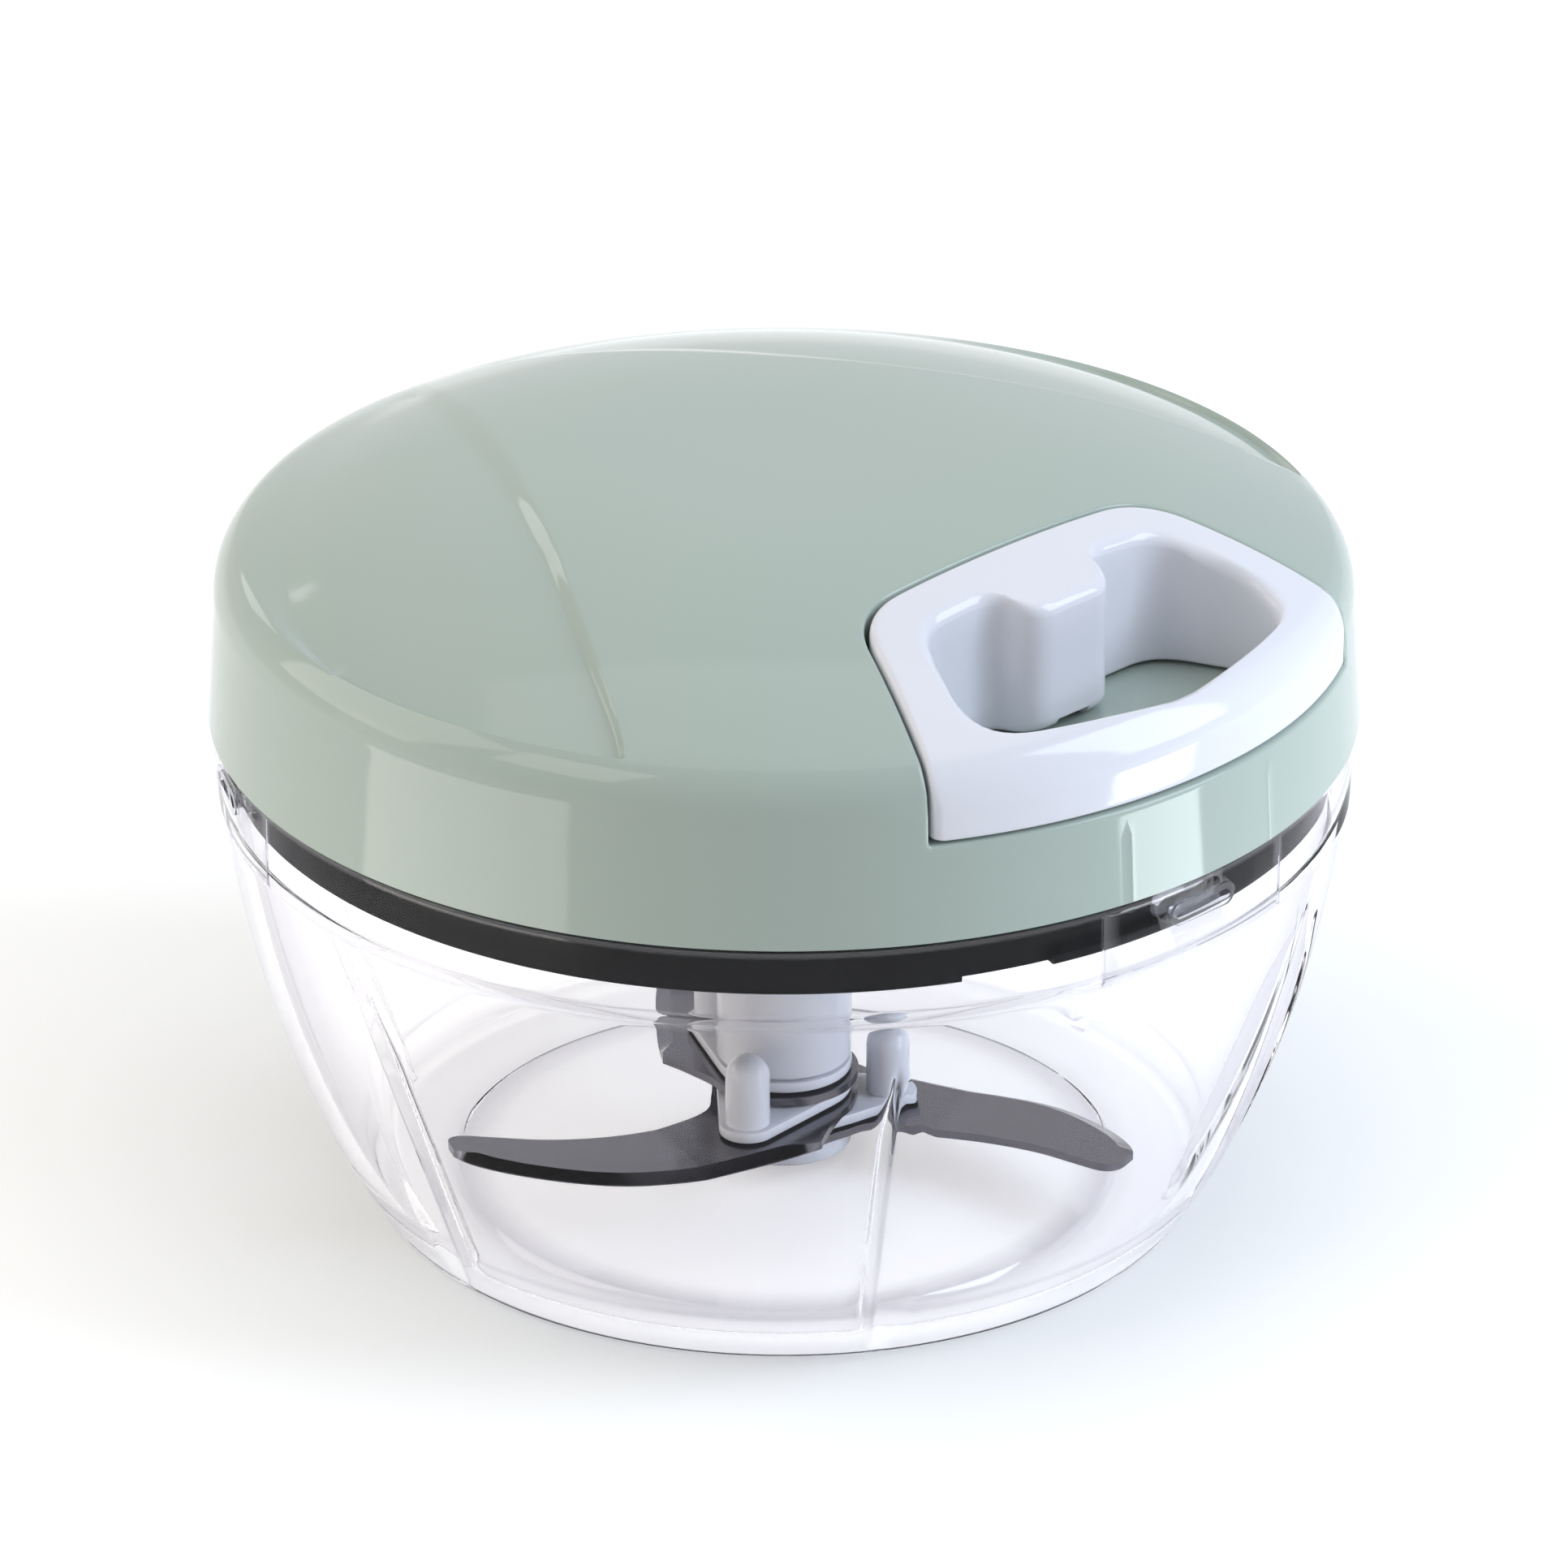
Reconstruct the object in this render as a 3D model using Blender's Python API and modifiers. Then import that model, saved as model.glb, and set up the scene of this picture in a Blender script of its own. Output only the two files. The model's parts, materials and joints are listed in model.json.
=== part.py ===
"""Pull-cord food chopper: clear bowl, bayonet lid with a cord reel, docked pull handle, blade unit.

The bowl stands on Z = 0 with its axis on Z. The handle docks at the front, towards -Y.
Angles of pieces round the axis are counted from the front, anticlockwise seen from above.
"""
import math

import bmesh
import bpy
from mathutils import Matrix, Vector

MM = 0.001

# Fits
SEAT_GAP = 0.3 * MM
RUN_GAP = 0.4 * MM
CUT_OVERRUN = 2.0 * MM
WELD_DISTANCE = 0.005 * MM

# Facets round a full turn
TURN_STEPS = 72
SMALL_STEPS = 24
TINY_STEPS = 12
REEL_STEPS = 32

# Bowl
BOWL_TOP_RADIUS = 60.3 * MM
BOWL_RIM_HEIGHT = 55.1 * MM
BOWL_BASE_SHARE = 0.728
BOWL_BASE_RADIUS = BOWL_TOP_RADIUS * BOWL_BASE_SHARE
BOWL_BAND_WIDTH = 6.4 * MM
BOWL_BAND_HEIGHT = BOWL_RIM_HEIGHT - BOWL_BAND_WIDTH
BOWL_BAND_STEP = 0.3 * MM
BOWL_WALL = 1.9 * MM
BOWL_UPPER_POWER = 1.83
BOWL_LOWER_POWER = 1.22
BOWL_OUTER_SHARES = (0.93, 0.85, 0.74, 0.6, 0.44, 0.28, 0.14)
BOWL_INNER_SHARES = (0.9, 0.72, 0.5, 0.28)
FLOOR_FILLET = 3.0 * MM
FOOT_CORNER = 1.1 * MM
FOOT_OUTER_RADIUS = BOWL_BASE_RADIUS - FOOT_CORNER
FOOT_RING_WIDTH = 6.6 * MM
FOOT_INNER_RADIUS = FOOT_OUTER_RADIUS - FOOT_RING_WIDTH
FOOT_CORNER_HEIGHT = 1.6 * MM
FOOT_RECESS = 0.8 * MM
FOOT_RECESS_SLOPE = 0.9 * MM

# Pleats folded into the bowl wall
PLEAT_COUNT = 6
PLEAT_FIRST_DEG = -33.3
PLEAT_APEX_SHARE = 0.719
PLEAT_APEX_HEIGHT = BOWL_RIM_HEIGHT * PLEAT_APEX_SHARE
PLEAT_FOOT_STAND = 0.4 * MM
PLEAT_BASE_RADIUS = BOWL_BASE_RADIUS + PLEAT_FOOT_STAND
PLEAT_STEEP_SHARE = 0.56
PLEAT_WIDE_SHARE = 1.42
PLEAT_LEAST_WIDTH = 0.7 * MM
PLEAT_BLEND = 1.5 * MM

# Pivot in the floor of the bowl
PIVOT_BOSS_RADIUS = 3.2 * MM
PIVOT_BOSS_HEIGHT = 2.4 * MM
PIVOT_PIN_RADIUS = 1.5 * MM
PIVOT_PIN_LENGTH = 12.0 * MM
PIVOT_PIN_DEPTH = 2.6 * MM

# Bayonet between bowl and lid
LUG_COUNT = 3
LUG_HALF_WIDTH = 4.7 * MM
LUG_HEIGHT = 2.5 * MM
LUG_DROP = 3.05 * MM
LUG_MIDDLE_HEIGHT = BOWL_RIM_HEIGHT - LUG_DROP
LUG_STAND_OUT = 1.2 * MM
LUG_CORE_DEPTH = 1.2 * MM
LUG_CORE_WALL = 0.7 * MM
TWIST_DEG = 22.0

# Lid cover
SKIRT_OVERHANG = 0.7 * MM
SKIRT_RADIUS = BOWL_TOP_RADIUS + SKIRT_OVERHANG
SKIRT_LIFT = 0.6 * MM
SKIRT_BOTTOM_HEIGHT = BOWL_RIM_HEIGHT + SKIRT_LIFT
SKIRT_LEAN = 0.9 * MM
SKIRT_TOP_RADIUS = SKIRT_RADIUS - SKIRT_LEAN
SKIRT_HEIGHT = 13.4 * MM
SKIRT_TOP_HEIGHT = SKIRT_BOTTOM_HEIGHT + SKIRT_HEIGHT
SHOULDER_WIDTH = 2.5 * MM
CROWN_RADIUS = SKIRT_TOP_RADIUS - SHOULDER_WIDTH
SHOULDER_HEIGHT = 5.1 * MM
SHOULDER_LEAN_SHARE = 0.39
CROWN_EDGE_HEIGHT = SKIRT_TOP_HEIGHT + SHOULDER_HEIGHT
CROWN_RISE = 9.8 * MM
CROWN_POWER = 3.1
SKIRT_WALL = 2.0 * MM
CROWN_WALL = 2.3 * MM

# Side facets of the crown: polar places of the crease, radius as a share of CROWN_RADIUS
CREASE_ANGLES_DEG = (64.6, 70.0, 75.0, 86.0, 100.0, 124.0, 147.0, 163.0, 172.0, 180.0)
CREASE_RADIUS_SHARES = (0.985, 0.86, 0.747, 0.61, 0.5, 0.445, 0.472, 0.58, 0.672, 0.95)
FACET_START_DEG = 64.3
FACET_STEP = 0.9 * MM
FACET_BACK_SHARE = 0.5
FACET_BAND = 1.2 * MM
FACET_BACK_BAND = 3.0 * MM
FACET_LIP = 1.4 * MM
FACET_ROOM = 9.0 * MM
FACET_SQUARE_DEG = 150.0
PLAIN_RING_SHARE = 0.9
CROWN_RING_SHARES = (0.25, 0.5, 0.75)

# Pull handle, seen from above: straight back, sides that open out, front on the skirt
HANDLE_BACK_SHARE = 0.54
HANDLE_BACK = CROWN_RADIUS * HANDLE_BACK_SHARE
HANDLE_HALF_SHARE = 0.363
HANDLE_HALF_BACK = CROWN_RADIUS * HANDLE_HALF_SHARE
HANDLE_SIDE_DEG = 25.5
HANDLE_FRONT_STAND = 0.1 * MM
HANDLE_FRONT_RADIUS = SKIRT_TOP_RADIUS + HANDLE_FRONT_STAND
HANDLE_LIP = 2.7 * MM
HANDLE_BOTTOM_HEIGHT = SKIRT_TOP_HEIGHT - HANDLE_LIP
HANDLE_BAR = 5.8 * MM
HANDLE_FRONT_BAR = 3.9 * MM
HANDLE_PROUD = 0.3 * MM
HANDLE_BACK_CORNER = 6.0 * MM
HANDLE_FRONT_CORNER = 1.2 * MM
OPENING_BACK_CORNER = 3.4 * MM
OPENING_FRONT_CORNER = 8.0 * MM
HANDLE_INNER_ROUND = 1.5 * MM
HANDLE_OUTER_ROUND = 0.9 * MM
BOSS_DEPTH = 5.2 * MM
BOSS_HALF_WIDTH = 4.8 * MM
BOSS_FLANK = 3.4 * MM
POCKET_GAP = 0.4 * MM
POCKET_WALL = 1.8 * MM
POCKET_FLOOR = 2.0 * MM

# Cord, which lies on a reel inside the lid
REEL_FLANGE_SHARE = 0.707
REEL_FLANGE_RADIUS = HANDLE_BACK * REEL_FLANGE_SHARE
REEL_DRUM_SHARE = 0.477
REEL_DRUM_RADIUS = REEL_FLANGE_RADIUS * REEL_DRUM_SHARE
CORD_RADIUS = 0.7 * MM
CORD_RISE = 4.0 * MM
CORD_HEIGHT = HANDLE_BOTTOM_HEIGHT + CORD_RISE
CORD_TURN_GAP = 0.47 * MM
CORD_PITCH = 2 * CORD_RADIUS + CORD_TURN_GAP
CORD_TURN_COUNT = 5
CORD_FIRST_RADIUS = REEL_DRUM_RADIUS + CORD_RADIUS + SEAT_GAP
CORD_BORE_CLEARANCE = 0.35 * MM
CORD_TURN_POINTS = 20
LEAD_BEND_SHARE = 0.75
KNOT_RADIUS = 1.8 * MM
KNOT_CLEARANCE = 0.5 * MM
GUIDE_WALL = 0.6 * MM
GUIDE_FLANGE_RADIUS = 3.0 * MM
GUIDE_FLANGE_THICKNESS = 1.0 * MM

# Lid base
BASE_COLLAR_THICKNESS = 3.4 * MM
BASE_COLLAR_DROP = 5.8 * MM
BASE_COLLAR_BOTTOM = BOWL_RIM_HEIGHT - BASE_COLLAR_DROP
BASE_PLATE_THICKNESS = 2.0 * MM
BASE_FLANGE_GAP = 0.9 * MM
SEAL_HEIGHT = 1.4 * MM
SEAL_DEPTH = 1.4 * MM
SLOT_DEPTH = 1.4 * MM
SPRING_WELL_RADIUS = 18.8 * MM
SPRING_WELL_WALL = 1.4 * MM
SPRING_HEIGHT = 4.6 * MM
SPRING_THICKNESS = 0.4 * MM
SPRING_TURN_COUNT = 5
SPRING_TURN_POINTS = 16
SPRING_COVER_THICKNESS = 1.0 * MM

# Screws between lid base and lid cover
SCREW_COUNT = 3
SCREW_FIRST_DEG = 80.0
SCREW_SPACING_DEG = 100.0
SCREW_CIRCLE_SHARE = 0.763
SCREW_CIRCLE_RADIUS = BOWL_TOP_RADIUS * SCREW_CIRCLE_SHARE
SCREW_SHANK_RADIUS = 1.25 * MM
SCREW_HEAD_RADIUS = 2.4 * MM
SCREW_HEAD_HEIGHT = 1.5 * MM
SCREW_LENGTH = 9.0 * MM
SCREW_PAD_RADIUS = 4.4 * MM
SCREW_PAD_HEIGHT = 1.8 * MM
SCREW_BOSS_RADIUS = 3.2 * MM

# Reel, its axle and its drive spindle
REEL_HUB_RADIUS = 6.0 * MM
REEL_FLANGE_THICKNESS = 1.2 * MM
REEL_GROOVE = 2.4 * MM
REEL_TOP_RADIUS = 5.0 * MM
REEL_TOP_HEIGHT = 4.0 * MM
REEL_LIFT = 0.9 * MM
AXLE_RADIUS = 2.0 * MM
AXLE_DEPTH_IN_REEL = 8.5 * MM
AXLE_DEPTH_IN_COVER = 3.2 * MM
WASHER_THICKNESS = 0.5 * MM
SPINDLE_RADIUS = 5.6 * MM
SPINDLE_STUB_RADIUS = 3.6 * MM
SPINDLE_STUB_LENGTH = 5.0 * MM
DOG_RADIUS = 4.4 * MM
DOG_LENGTH = 8.6 * MM

# Blade unit
SHAFT_RADIUS = 7.35 * MM
SHAFT_TOP_RADIUS = 7.25 * MM
SHAFT_TOP_DROP = 0.5 * MM
SHAFT_TOP_HEIGHT = BOWL_RIM_HEIGHT - SHAFT_TOP_DROP
CORE_RADIUS = 5.2 * MM
HUB_FOOT_HEIGHT = 2.0 * MM
BLADE_THICKNESS = 0.9 * MM
BLADE_EDGE_LAND = 0.2 * MM
BLADE_GRIND = 1.6 * MM
SEAT_THICKNESS = 1.2 * MM
BLADE_TIP_CLEARANCE = 3.5 * MM
BLADE_REACH = BOWL_BASE_RADIUS - BLADE_TIP_CLEARANCE
BLADE_FOLD_SHARE = 0.42
BLADE_TIP_RISE = 3.0 * MM
BLADE_TIP_DEG = (22.2, -105.1, 138.5)
BLADE_LEADING_SHARES = (
    (1.0, 0.0), (0.975, 0.06), (0.9, 0.14), (0.78, 0.225), (0.65, 0.287), (0.5, 0.318),
    (0.34, 0.328), (0.18, 0.33), (0.07, 0.322),
)
BLADE_TRAILING_SHARES = (
    (0.02, 0.27), (-0.06, 0.2), (-0.12, 0.16), (-0.19, 0.06), (-0.19, -0.06), (-0.12, -0.16),
    (0.0, -0.2), (0.12, -0.16), (0.19, -0.06), (0.25, 0.015), (0.38, 0.042), (0.55, 0.042),
    (0.72, 0.01), (0.86, -0.045), (0.94, -0.075), (0.985, -0.06),
)
POST_RADIUS = 2.4 * MM
POST_CIRCLE_RADIUS = 11.5 * MM
POST_HEIGHT = 7.9 * MM
POST_DEG = (55.2, -64.8, 175.2)
PETAL_RADIUS = 3.1 * MM

# Heights and radii that follow from the values above
BOWL_RIM_INNER = BOWL_TOP_RADIUS - BOWL_WALL
BOWL_FLOOR = FOOT_RECESS + BOWL_WALL
COLLAR_RADIUS = BOWL_RIM_INNER - RUN_GAP
COLLAR_INNER = COLLAR_RADIUS - BASE_COLLAR_THICKNESS
PLATE_BOTTOM = BOWL_RIM_HEIGHT + BASE_FLANGE_GAP
PLATE_TOP = PLATE_BOTTOM + BASE_PLATE_THICKNESS
SPRING_WELL_TOP = PLATE_TOP + SPRING_HEIGHT + 2 * SEAT_GAP
SPRING_COVER_BOTTOM = SPRING_WELL_TOP + SEAT_GAP
REEL_HUB_BOTTOM = PLATE_TOP + REEL_LIFT
GROOVE_BOTTOM = CORD_HEIGHT - REEL_GROOVE / 2
GROOVE_TOP = CORD_HEIGHT + REEL_GROOVE / 2
REEL_TOP = GROOVE_TOP + REEL_FLANGE_THICKNESS + REEL_TOP_HEIGHT
WASHER_BOTTOM = REEL_TOP + SEAT_GAP
COVER_BOSS_BOTTOM = WASHER_BOTTOM + WASHER_THICKNESS + SEAT_GAP
POCKET_FLOOR_HEIGHT = HANDLE_BOTTOM_HEIGHT - POCKET_GAP
CORE_BOTTOM = BOWL_FLOOR + SEAT_GAP
HUB_FOOT_BOTTOM = BOWL_FLOOR + RUN_GAP
BLADE_PITCH = BLADE_THICKNESS + SEAT_THICKNESS + 2 * SEAT_GAP
BLADE_FIRST_HEIGHT = HUB_FOOT_BOTTOM + HUB_FOOT_HEIGHT + SEAT_GAP
SHAFT_SHOULDER = BLADE_FIRST_HEIGHT + len(BLADE_TIP_DEG) * BLADE_PITCH
PIN_TOP = BOWL_FLOOR + PIVOT_BOSS_HEIGHT + PIVOT_PIN_LENGTH - PIVOT_PIN_DEPTH

PARTS_NAME = "manual_food_chopper"
CUTTERS_NAME = "cutters"


def start_scene():
    """Empty the scene and make one collection for the parts and one for the cutters."""
    for thing in list(bpy.data.objects):
        bpy.data.objects.remove(thing)
    for name in (PARTS_NAME, CUTTERS_NAME):
        bpy.context.scene.collection.children.link(bpy.data.collections.new(name))


def plastic(name, colour, roughness, metallic=0.0, transmission=0.0):
    """Make a Principled material."""
    material = bpy.data.materials.new(name)
    material.use_nodes = True
    shader = material.node_tree.nodes["Principled BSDF"]
    shader.inputs["Base Color"].default_value = (*colour, 1.0)
    shader.inputs["Roughness"].default_value = roughness
    shader.inputs["Metallic"].default_value = metallic
    shader.inputs["Transmission Weight"].default_value = transmission
    return material


def rim_point(radius, angle_deg, height=0.0):
    """Point at a radius and an angle counted from the front, anticlockwise from above."""
    angle = math.radians(angle_deg)
    return Vector((radius * math.sin(angle), -radius * math.cos(angle), height))


def front_turn(angle_deg):
    """Turn that takes the front, -Y, to an angle counted from the front."""
    return Matrix.Rotation(math.radians(angle_deg), 4, "Z")


def add_object(name, bm, material=None):
    """Give a bmesh an object, in the parts when it has a material and in the cutters when not."""
    bmesh.ops.remove_doubles(bm, verts=bm.verts, dist=WELD_DISTANCE)
    bmesh.ops.recalc_face_normals(bm, faces=bm.faces)
    return add_as_is(name, bm, material)


def add_as_is(name, bm, material=None):
    """Give a bmesh an object and leave its faces as they are turned."""
    mesh = bpy.data.meshes.new(name)
    bm.to_mesh(mesh)
    bm.free()
    obj = bpy.data.objects.new(name, mesh)
    if material is None:
        bpy.data.collections[CUTTERS_NAME].objects.link(obj)
        obj.hide_render = True
        obj.display_type = "WIRE"
    else:
        bpy.data.collections[PARTS_NAME].objects.link(obj)
        mesh.materials.append(material)
        mesh.shade_smooth()
        mesh.set_sharp_from_angle(angle=math.radians(30.0))
    return obj


def evaluated_bmesh(obj):
    """Read an object with its modifiers into a bmesh and remove the object."""
    bpy.context.view_layer.update()
    depsgraph = bpy.context.evaluated_depsgraph_get()
    mesh = bpy.data.meshes.new_from_object(obj.evaluated_get(depsgraph))
    bm = bmesh.new()
    bm.from_mesh(mesh)
    bpy.data.objects.remove(obj)
    bpy.data.meshes.remove(mesh)
    return bm


def turned_bmesh(profile, steps, closed):
    """Turn a profile of radius and height about Z with a Screw modifier."""
    bm = bmesh.new()
    verts = [bm.verts.new((radius, 0.0, height)) for radius, height in profile]
    for first, second in zip(verts, verts[1:]):
        bm.edges.new((first, second))
    if closed:
        bm.edges.new((verts[-1], verts[0]))
    obj = add_as_is("turned_profile", bm)
    screw = obj.modifiers.new("turn", "SCREW")
    screw.steps = steps
    screw.render_steps = steps
    screw.use_merge_vertices = True
    screw.merge_threshold = WELD_DISTANCE
    return evaluated_bmesh(obj)


def turned(name, profile, steps=TURN_STEPS, closed=True, material=None):
    """Solid of revolution about Z."""
    return add_object(name, turned_bmesh(profile, steps, closed), material)


def rod_bmesh(radius, bottom, top, steps=SMALL_STEPS, top_radius=None):
    """Upright cylinder, cone or prism on the axis."""
    bm = bmesh.new()
    bmesh.ops.create_cone(
        bm, cap_ends=True, segments=steps, radius1=radius,
        radius2=radius if top_radius is None else top_radius, depth=top - bottom,
    )
    bmesh.ops.translate(bm, verts=bm.verts, vec=(0.0, 0.0, (bottom + top) / 2))
    return bm


def rod(name, radius, bottom, top, place=(0.0, 0.0), steps=SMALL_STEPS, material=None):
    """Upright cylinder or prism at a place in plan."""
    bm = rod_bmesh(radius, bottom, top, steps)
    bmesh.ops.translate(bm, verts=bm.verts, vec=(place[0], place[1], 0.0))
    return add_object(name, bm, material)


def front_rod(name, radius, back, front, height, steps=TINY_STEPS, material=None):
    """Cylinder along Y at the middle of the front, between two distances from the axis."""
    bm = rod_bmesh(radius, back, front, steps)
    bmesh.ops.rotate(bm, verts=bm.verts, matrix=Matrix.Rotation(math.radians(90.0), 3, "X"))
    bmesh.ops.translate(bm, verts=bm.verts, vec=(0.0, 0.0, height))
    return add_object(name, bm, material)


def prism_bmesh(outline, bottom, top):
    """Upright prism over an outline in plan."""
    bm = bmesh.new()
    face = bm.faces.new([bm.verts.new((x, y, bottom)) for x, y in outline])
    raised = bmesh.ops.extrude_face_region(bm, geom=[face])["geom"]
    verts = [item for item in raised if isinstance(item, bmesh.types.BMVert)]
    bmesh.ops.translate(bm, verts=verts, vec=(0.0, 0.0, top - bottom))
    return bm


def combine(obj, other, operation):
    """Cut, join or intersect an object with another that goes among the cutters."""
    boolean = obj.modifiers.new(operation.lower(), "BOOLEAN")
    boolean.operation = operation
    boolean.object = other
    return obj


def cut(obj, *cutters):
    """Cut an object with each cutter."""
    for cutter in cutters:
        combine(obj, cutter, "DIFFERENCE")
    return obj


def join(obj, *others):
    """Join each other solid to an object."""
    for other in others:
        combine(obj, other, "UNION")
    return obj


def joint_empty(name, place):
    """Empty on a joint's axis, which carries the pieces that move together."""
    empty = bpy.data.objects.new(name, None)
    empty.location = place
    bpy.data.collections[CUTTERS_NAME].objects.link(empty)
    return empty


def carry(parent, *pieces):
    """Parent pieces, which are modelled in place, to an empty."""
    for piece in pieces:
        piece.parent = parent
        piece.matrix_parent_inverse = Matrix.Translation(-parent.location)


def bowl_outer_radius(height):
    """Outer radius of the bowl wall at a height."""
    share = min(max(height / SKIRT_BOTTOM_HEIGHT, 0.0), 1.0)
    bulge = (1.0 - (1.0 - share) ** BOWL_UPPER_POWER) ** (1.0 / BOWL_LOWER_POWER)
    return BOWL_BASE_RADIUS + (BOWL_TOP_RADIUS - BOWL_BASE_RADIUS) * bulge


def pleat_valley_radius(height):
    """Radius of the straight fold at the bottom of a pleat."""
    apex_radius = bowl_outer_radius(PLEAT_APEX_HEIGHT)
    return PLEAT_BASE_RADIUS + (apex_radius - PLEAT_BASE_RADIUS) * height / PLEAT_APEX_HEIGHT


def bowl_inner_radius(height):
    """Inner radius of the bowl wall at a height, square to the outer wall's slope."""
    rise = BOWL_WALL / 4
    slope = (bowl_outer_radius(height + rise) - bowl_outer_radius(height - rise)) / (2 * rise)
    return bowl_outer_radius(height) - BOWL_WALL * math.sqrt(1.0 + slope ** 2)


def bowl_profile():
    """Profile of the bowl: out over the floor, up inside, over the rim, down to the underside."""
    corner = bowl_inner_radius(BOWL_FLOOR + FLOOR_FILLET)
    profile = [
        (0.0, BOWL_FLOOR), (FOOT_INNER_RADIUS, BOWL_FLOOR), (corner - FLOOR_FILLET, BOWL_FLOOR),
        (corner - FLOOR_FILLET / 3, BOWL_FLOOR + FLOOR_FILLET / 3),
        (corner, BOWL_FLOOR + FLOOR_FILLET),
    ]
    for share in reversed(BOWL_INNER_SHARES):
        height = PLEAT_APEX_HEIGHT * share
        profile.append((bowl_inner_radius(height), height))
    profile += [
        (bowl_inner_radius(PLEAT_APEX_HEIGHT), PLEAT_APEX_HEIGHT),
        (BOWL_RIM_INNER - BOWL_BAND_STEP, BOWL_BAND_HEIGHT),
        (BOWL_RIM_INNER, BOWL_BAND_HEIGHT + BOWL_BAND_STEP), (BOWL_RIM_INNER, BOWL_RIM_HEIGHT),
        (BOWL_TOP_RADIUS, BOWL_RIM_HEIGHT), (BOWL_TOP_RADIUS, BOWL_BAND_HEIGHT + BOWL_BAND_STEP),
        (BOWL_TOP_RADIUS - BOWL_BAND_STEP, BOWL_BAND_HEIGHT),
        (bowl_outer_radius(PLEAT_APEX_HEIGHT), PLEAT_APEX_HEIGHT),
    ]
    heights = [PLEAT_APEX_HEIGHT * share for share in BOWL_OUTER_SHARES]
    profile += [(bowl_outer_radius(height), height) for height in [*heights, FOOT_CORNER_HEIGHT]]
    return profile + [
        (FOOT_OUTER_RADIUS, 0.0), (FOOT_INNER_RADIUS, 0.0),
        (FOOT_INNER_RADIUS - FOOT_RECESS_SLOPE, FOOT_RECESS), (0.0, FOOT_RECESS),
    ]


def pleat_section(depth, wall):
    """Widths of a pleat's two faces, sideways shift of its fold and how far the fold goes in.

    Args:
        depth: depth of the groove in the outer wall.
        wall: distance of the folded surface inside the outer one, 0 for the outer one itself.
    """
    steep = math.atan(PLEAT_STEEP_SHARE)
    wide = math.atan(PLEAT_WIDE_SHARE)
    grown = wall * min(depth / PLEAT_BLEND, 1.0)
    spread = math.sin(steep + wide)
    steep_width = depth * PLEAT_STEEP_SHARE + grown * (1.0 - math.sin(steep)) / math.cos(steep)
    wide_width = depth * PLEAT_WIDE_SHARE + grown * (1.0 - math.sin(wide)) / math.cos(wide)
    shift = -grown * (math.sin(wide) - math.sin(steep)) / spread
    inward = wall + grown * ((math.cos(steep) + math.cos(wide)) / spread - 1.0)
    return max(steep_width, PLEAT_LEAST_WIDTH), max(wide_width, PLEAT_LEAST_WIDTH), shift, inward


def fold_pleats(bm):
    """Fold the pleats into the turned bowl: a straight valley between a steep and a wide face."""
    columns = TURN_STEPS // PLEAT_COUNT
    sector = 2.0 * math.pi / PLEAT_COUNT
    for vert in bm.verts:
        radius = math.hypot(vert.co.x, vert.co.y)
        if radius < WELD_DISTANCE:
            continue
        column = round(math.atan2(vert.co.y, vert.co.x) / (sector / columns)) % TURN_STEPS
        pleat, place = divmod(column, columns)
        height = vert.co.z
        offset = place * sector / columns
        if radius > FOOT_INNER_RADIUS + WELD_DISTANCE:
            inside = height > BOWL_FLOOR / 2 and radius < bowl_outer_radius(height) - BOWL_WALL / 2
            depth = 0.0
            if height < PLEAT_APEX_HEIGHT:
                depth = max(bowl_outer_radius(height) - pleat_valley_radius(height), 0.0)
            wall = BOWL_WALL if inside else 0.0
            steep, wide, shift, inward = pleat_section(depth, wall)
            if height > PLEAT_APEX_HEIGHT:
                share = (height - PLEAT_APEX_HEIGHT) / (BOWL_RIM_HEIGHT - PLEAT_APEX_HEIGHT)
                steep += (radius * sector / columns - steep) * share
                wide += (radius * sector / columns - wide) * share
            if place == 0:
                offset = shift / radius
            else:
                spare = sector - (steep + wide) / radius
                offset = wide / radius + spare * (place - 1) / (columns - 2)
            if place == 0 and depth > 0.0:
                radius = min(radius, pleat_valley_radius(height) - inward)
        angle = math.radians(PLEAT_FIRST_DEG - 90.0) + pleat * sector + offset
        vert.co = Vector((radius * math.cos(angle), radius * math.sin(angle), height))


def capsule_prism(name, half_width, half_height, inner, outer, angle_deg):
    """Prism with round ends, laid round the rim: it reaches from one radius out to another."""
    straight = half_width - half_height
    outline = []
    for side in (1.0, -1.0):
        for step in range(TINY_STEPS // 2 + 1):
            angle = side * math.pi / 2 - side * math.pi * step / (TINY_STEPS // 2)
            across = side * (straight + half_height * math.cos(angle))
            outline.append((across, side * half_height * math.sin(side * angle)))
    bm = prism_bmesh(outline, inner, outer)
    bmesh.ops.rotate(bm, verts=bm.verts, matrix=Matrix.Rotation(math.radians(90.0), 3, "X"))
    bmesh.ops.translate(bm, verts=bm.verts, vec=(0.0, 0.0, LUG_MIDDLE_HEIGHT))
    bmesh.ops.transform(bm, verts=bm.verts, matrix=front_turn(angle_deg))
    return add_object(name, bm)


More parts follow.
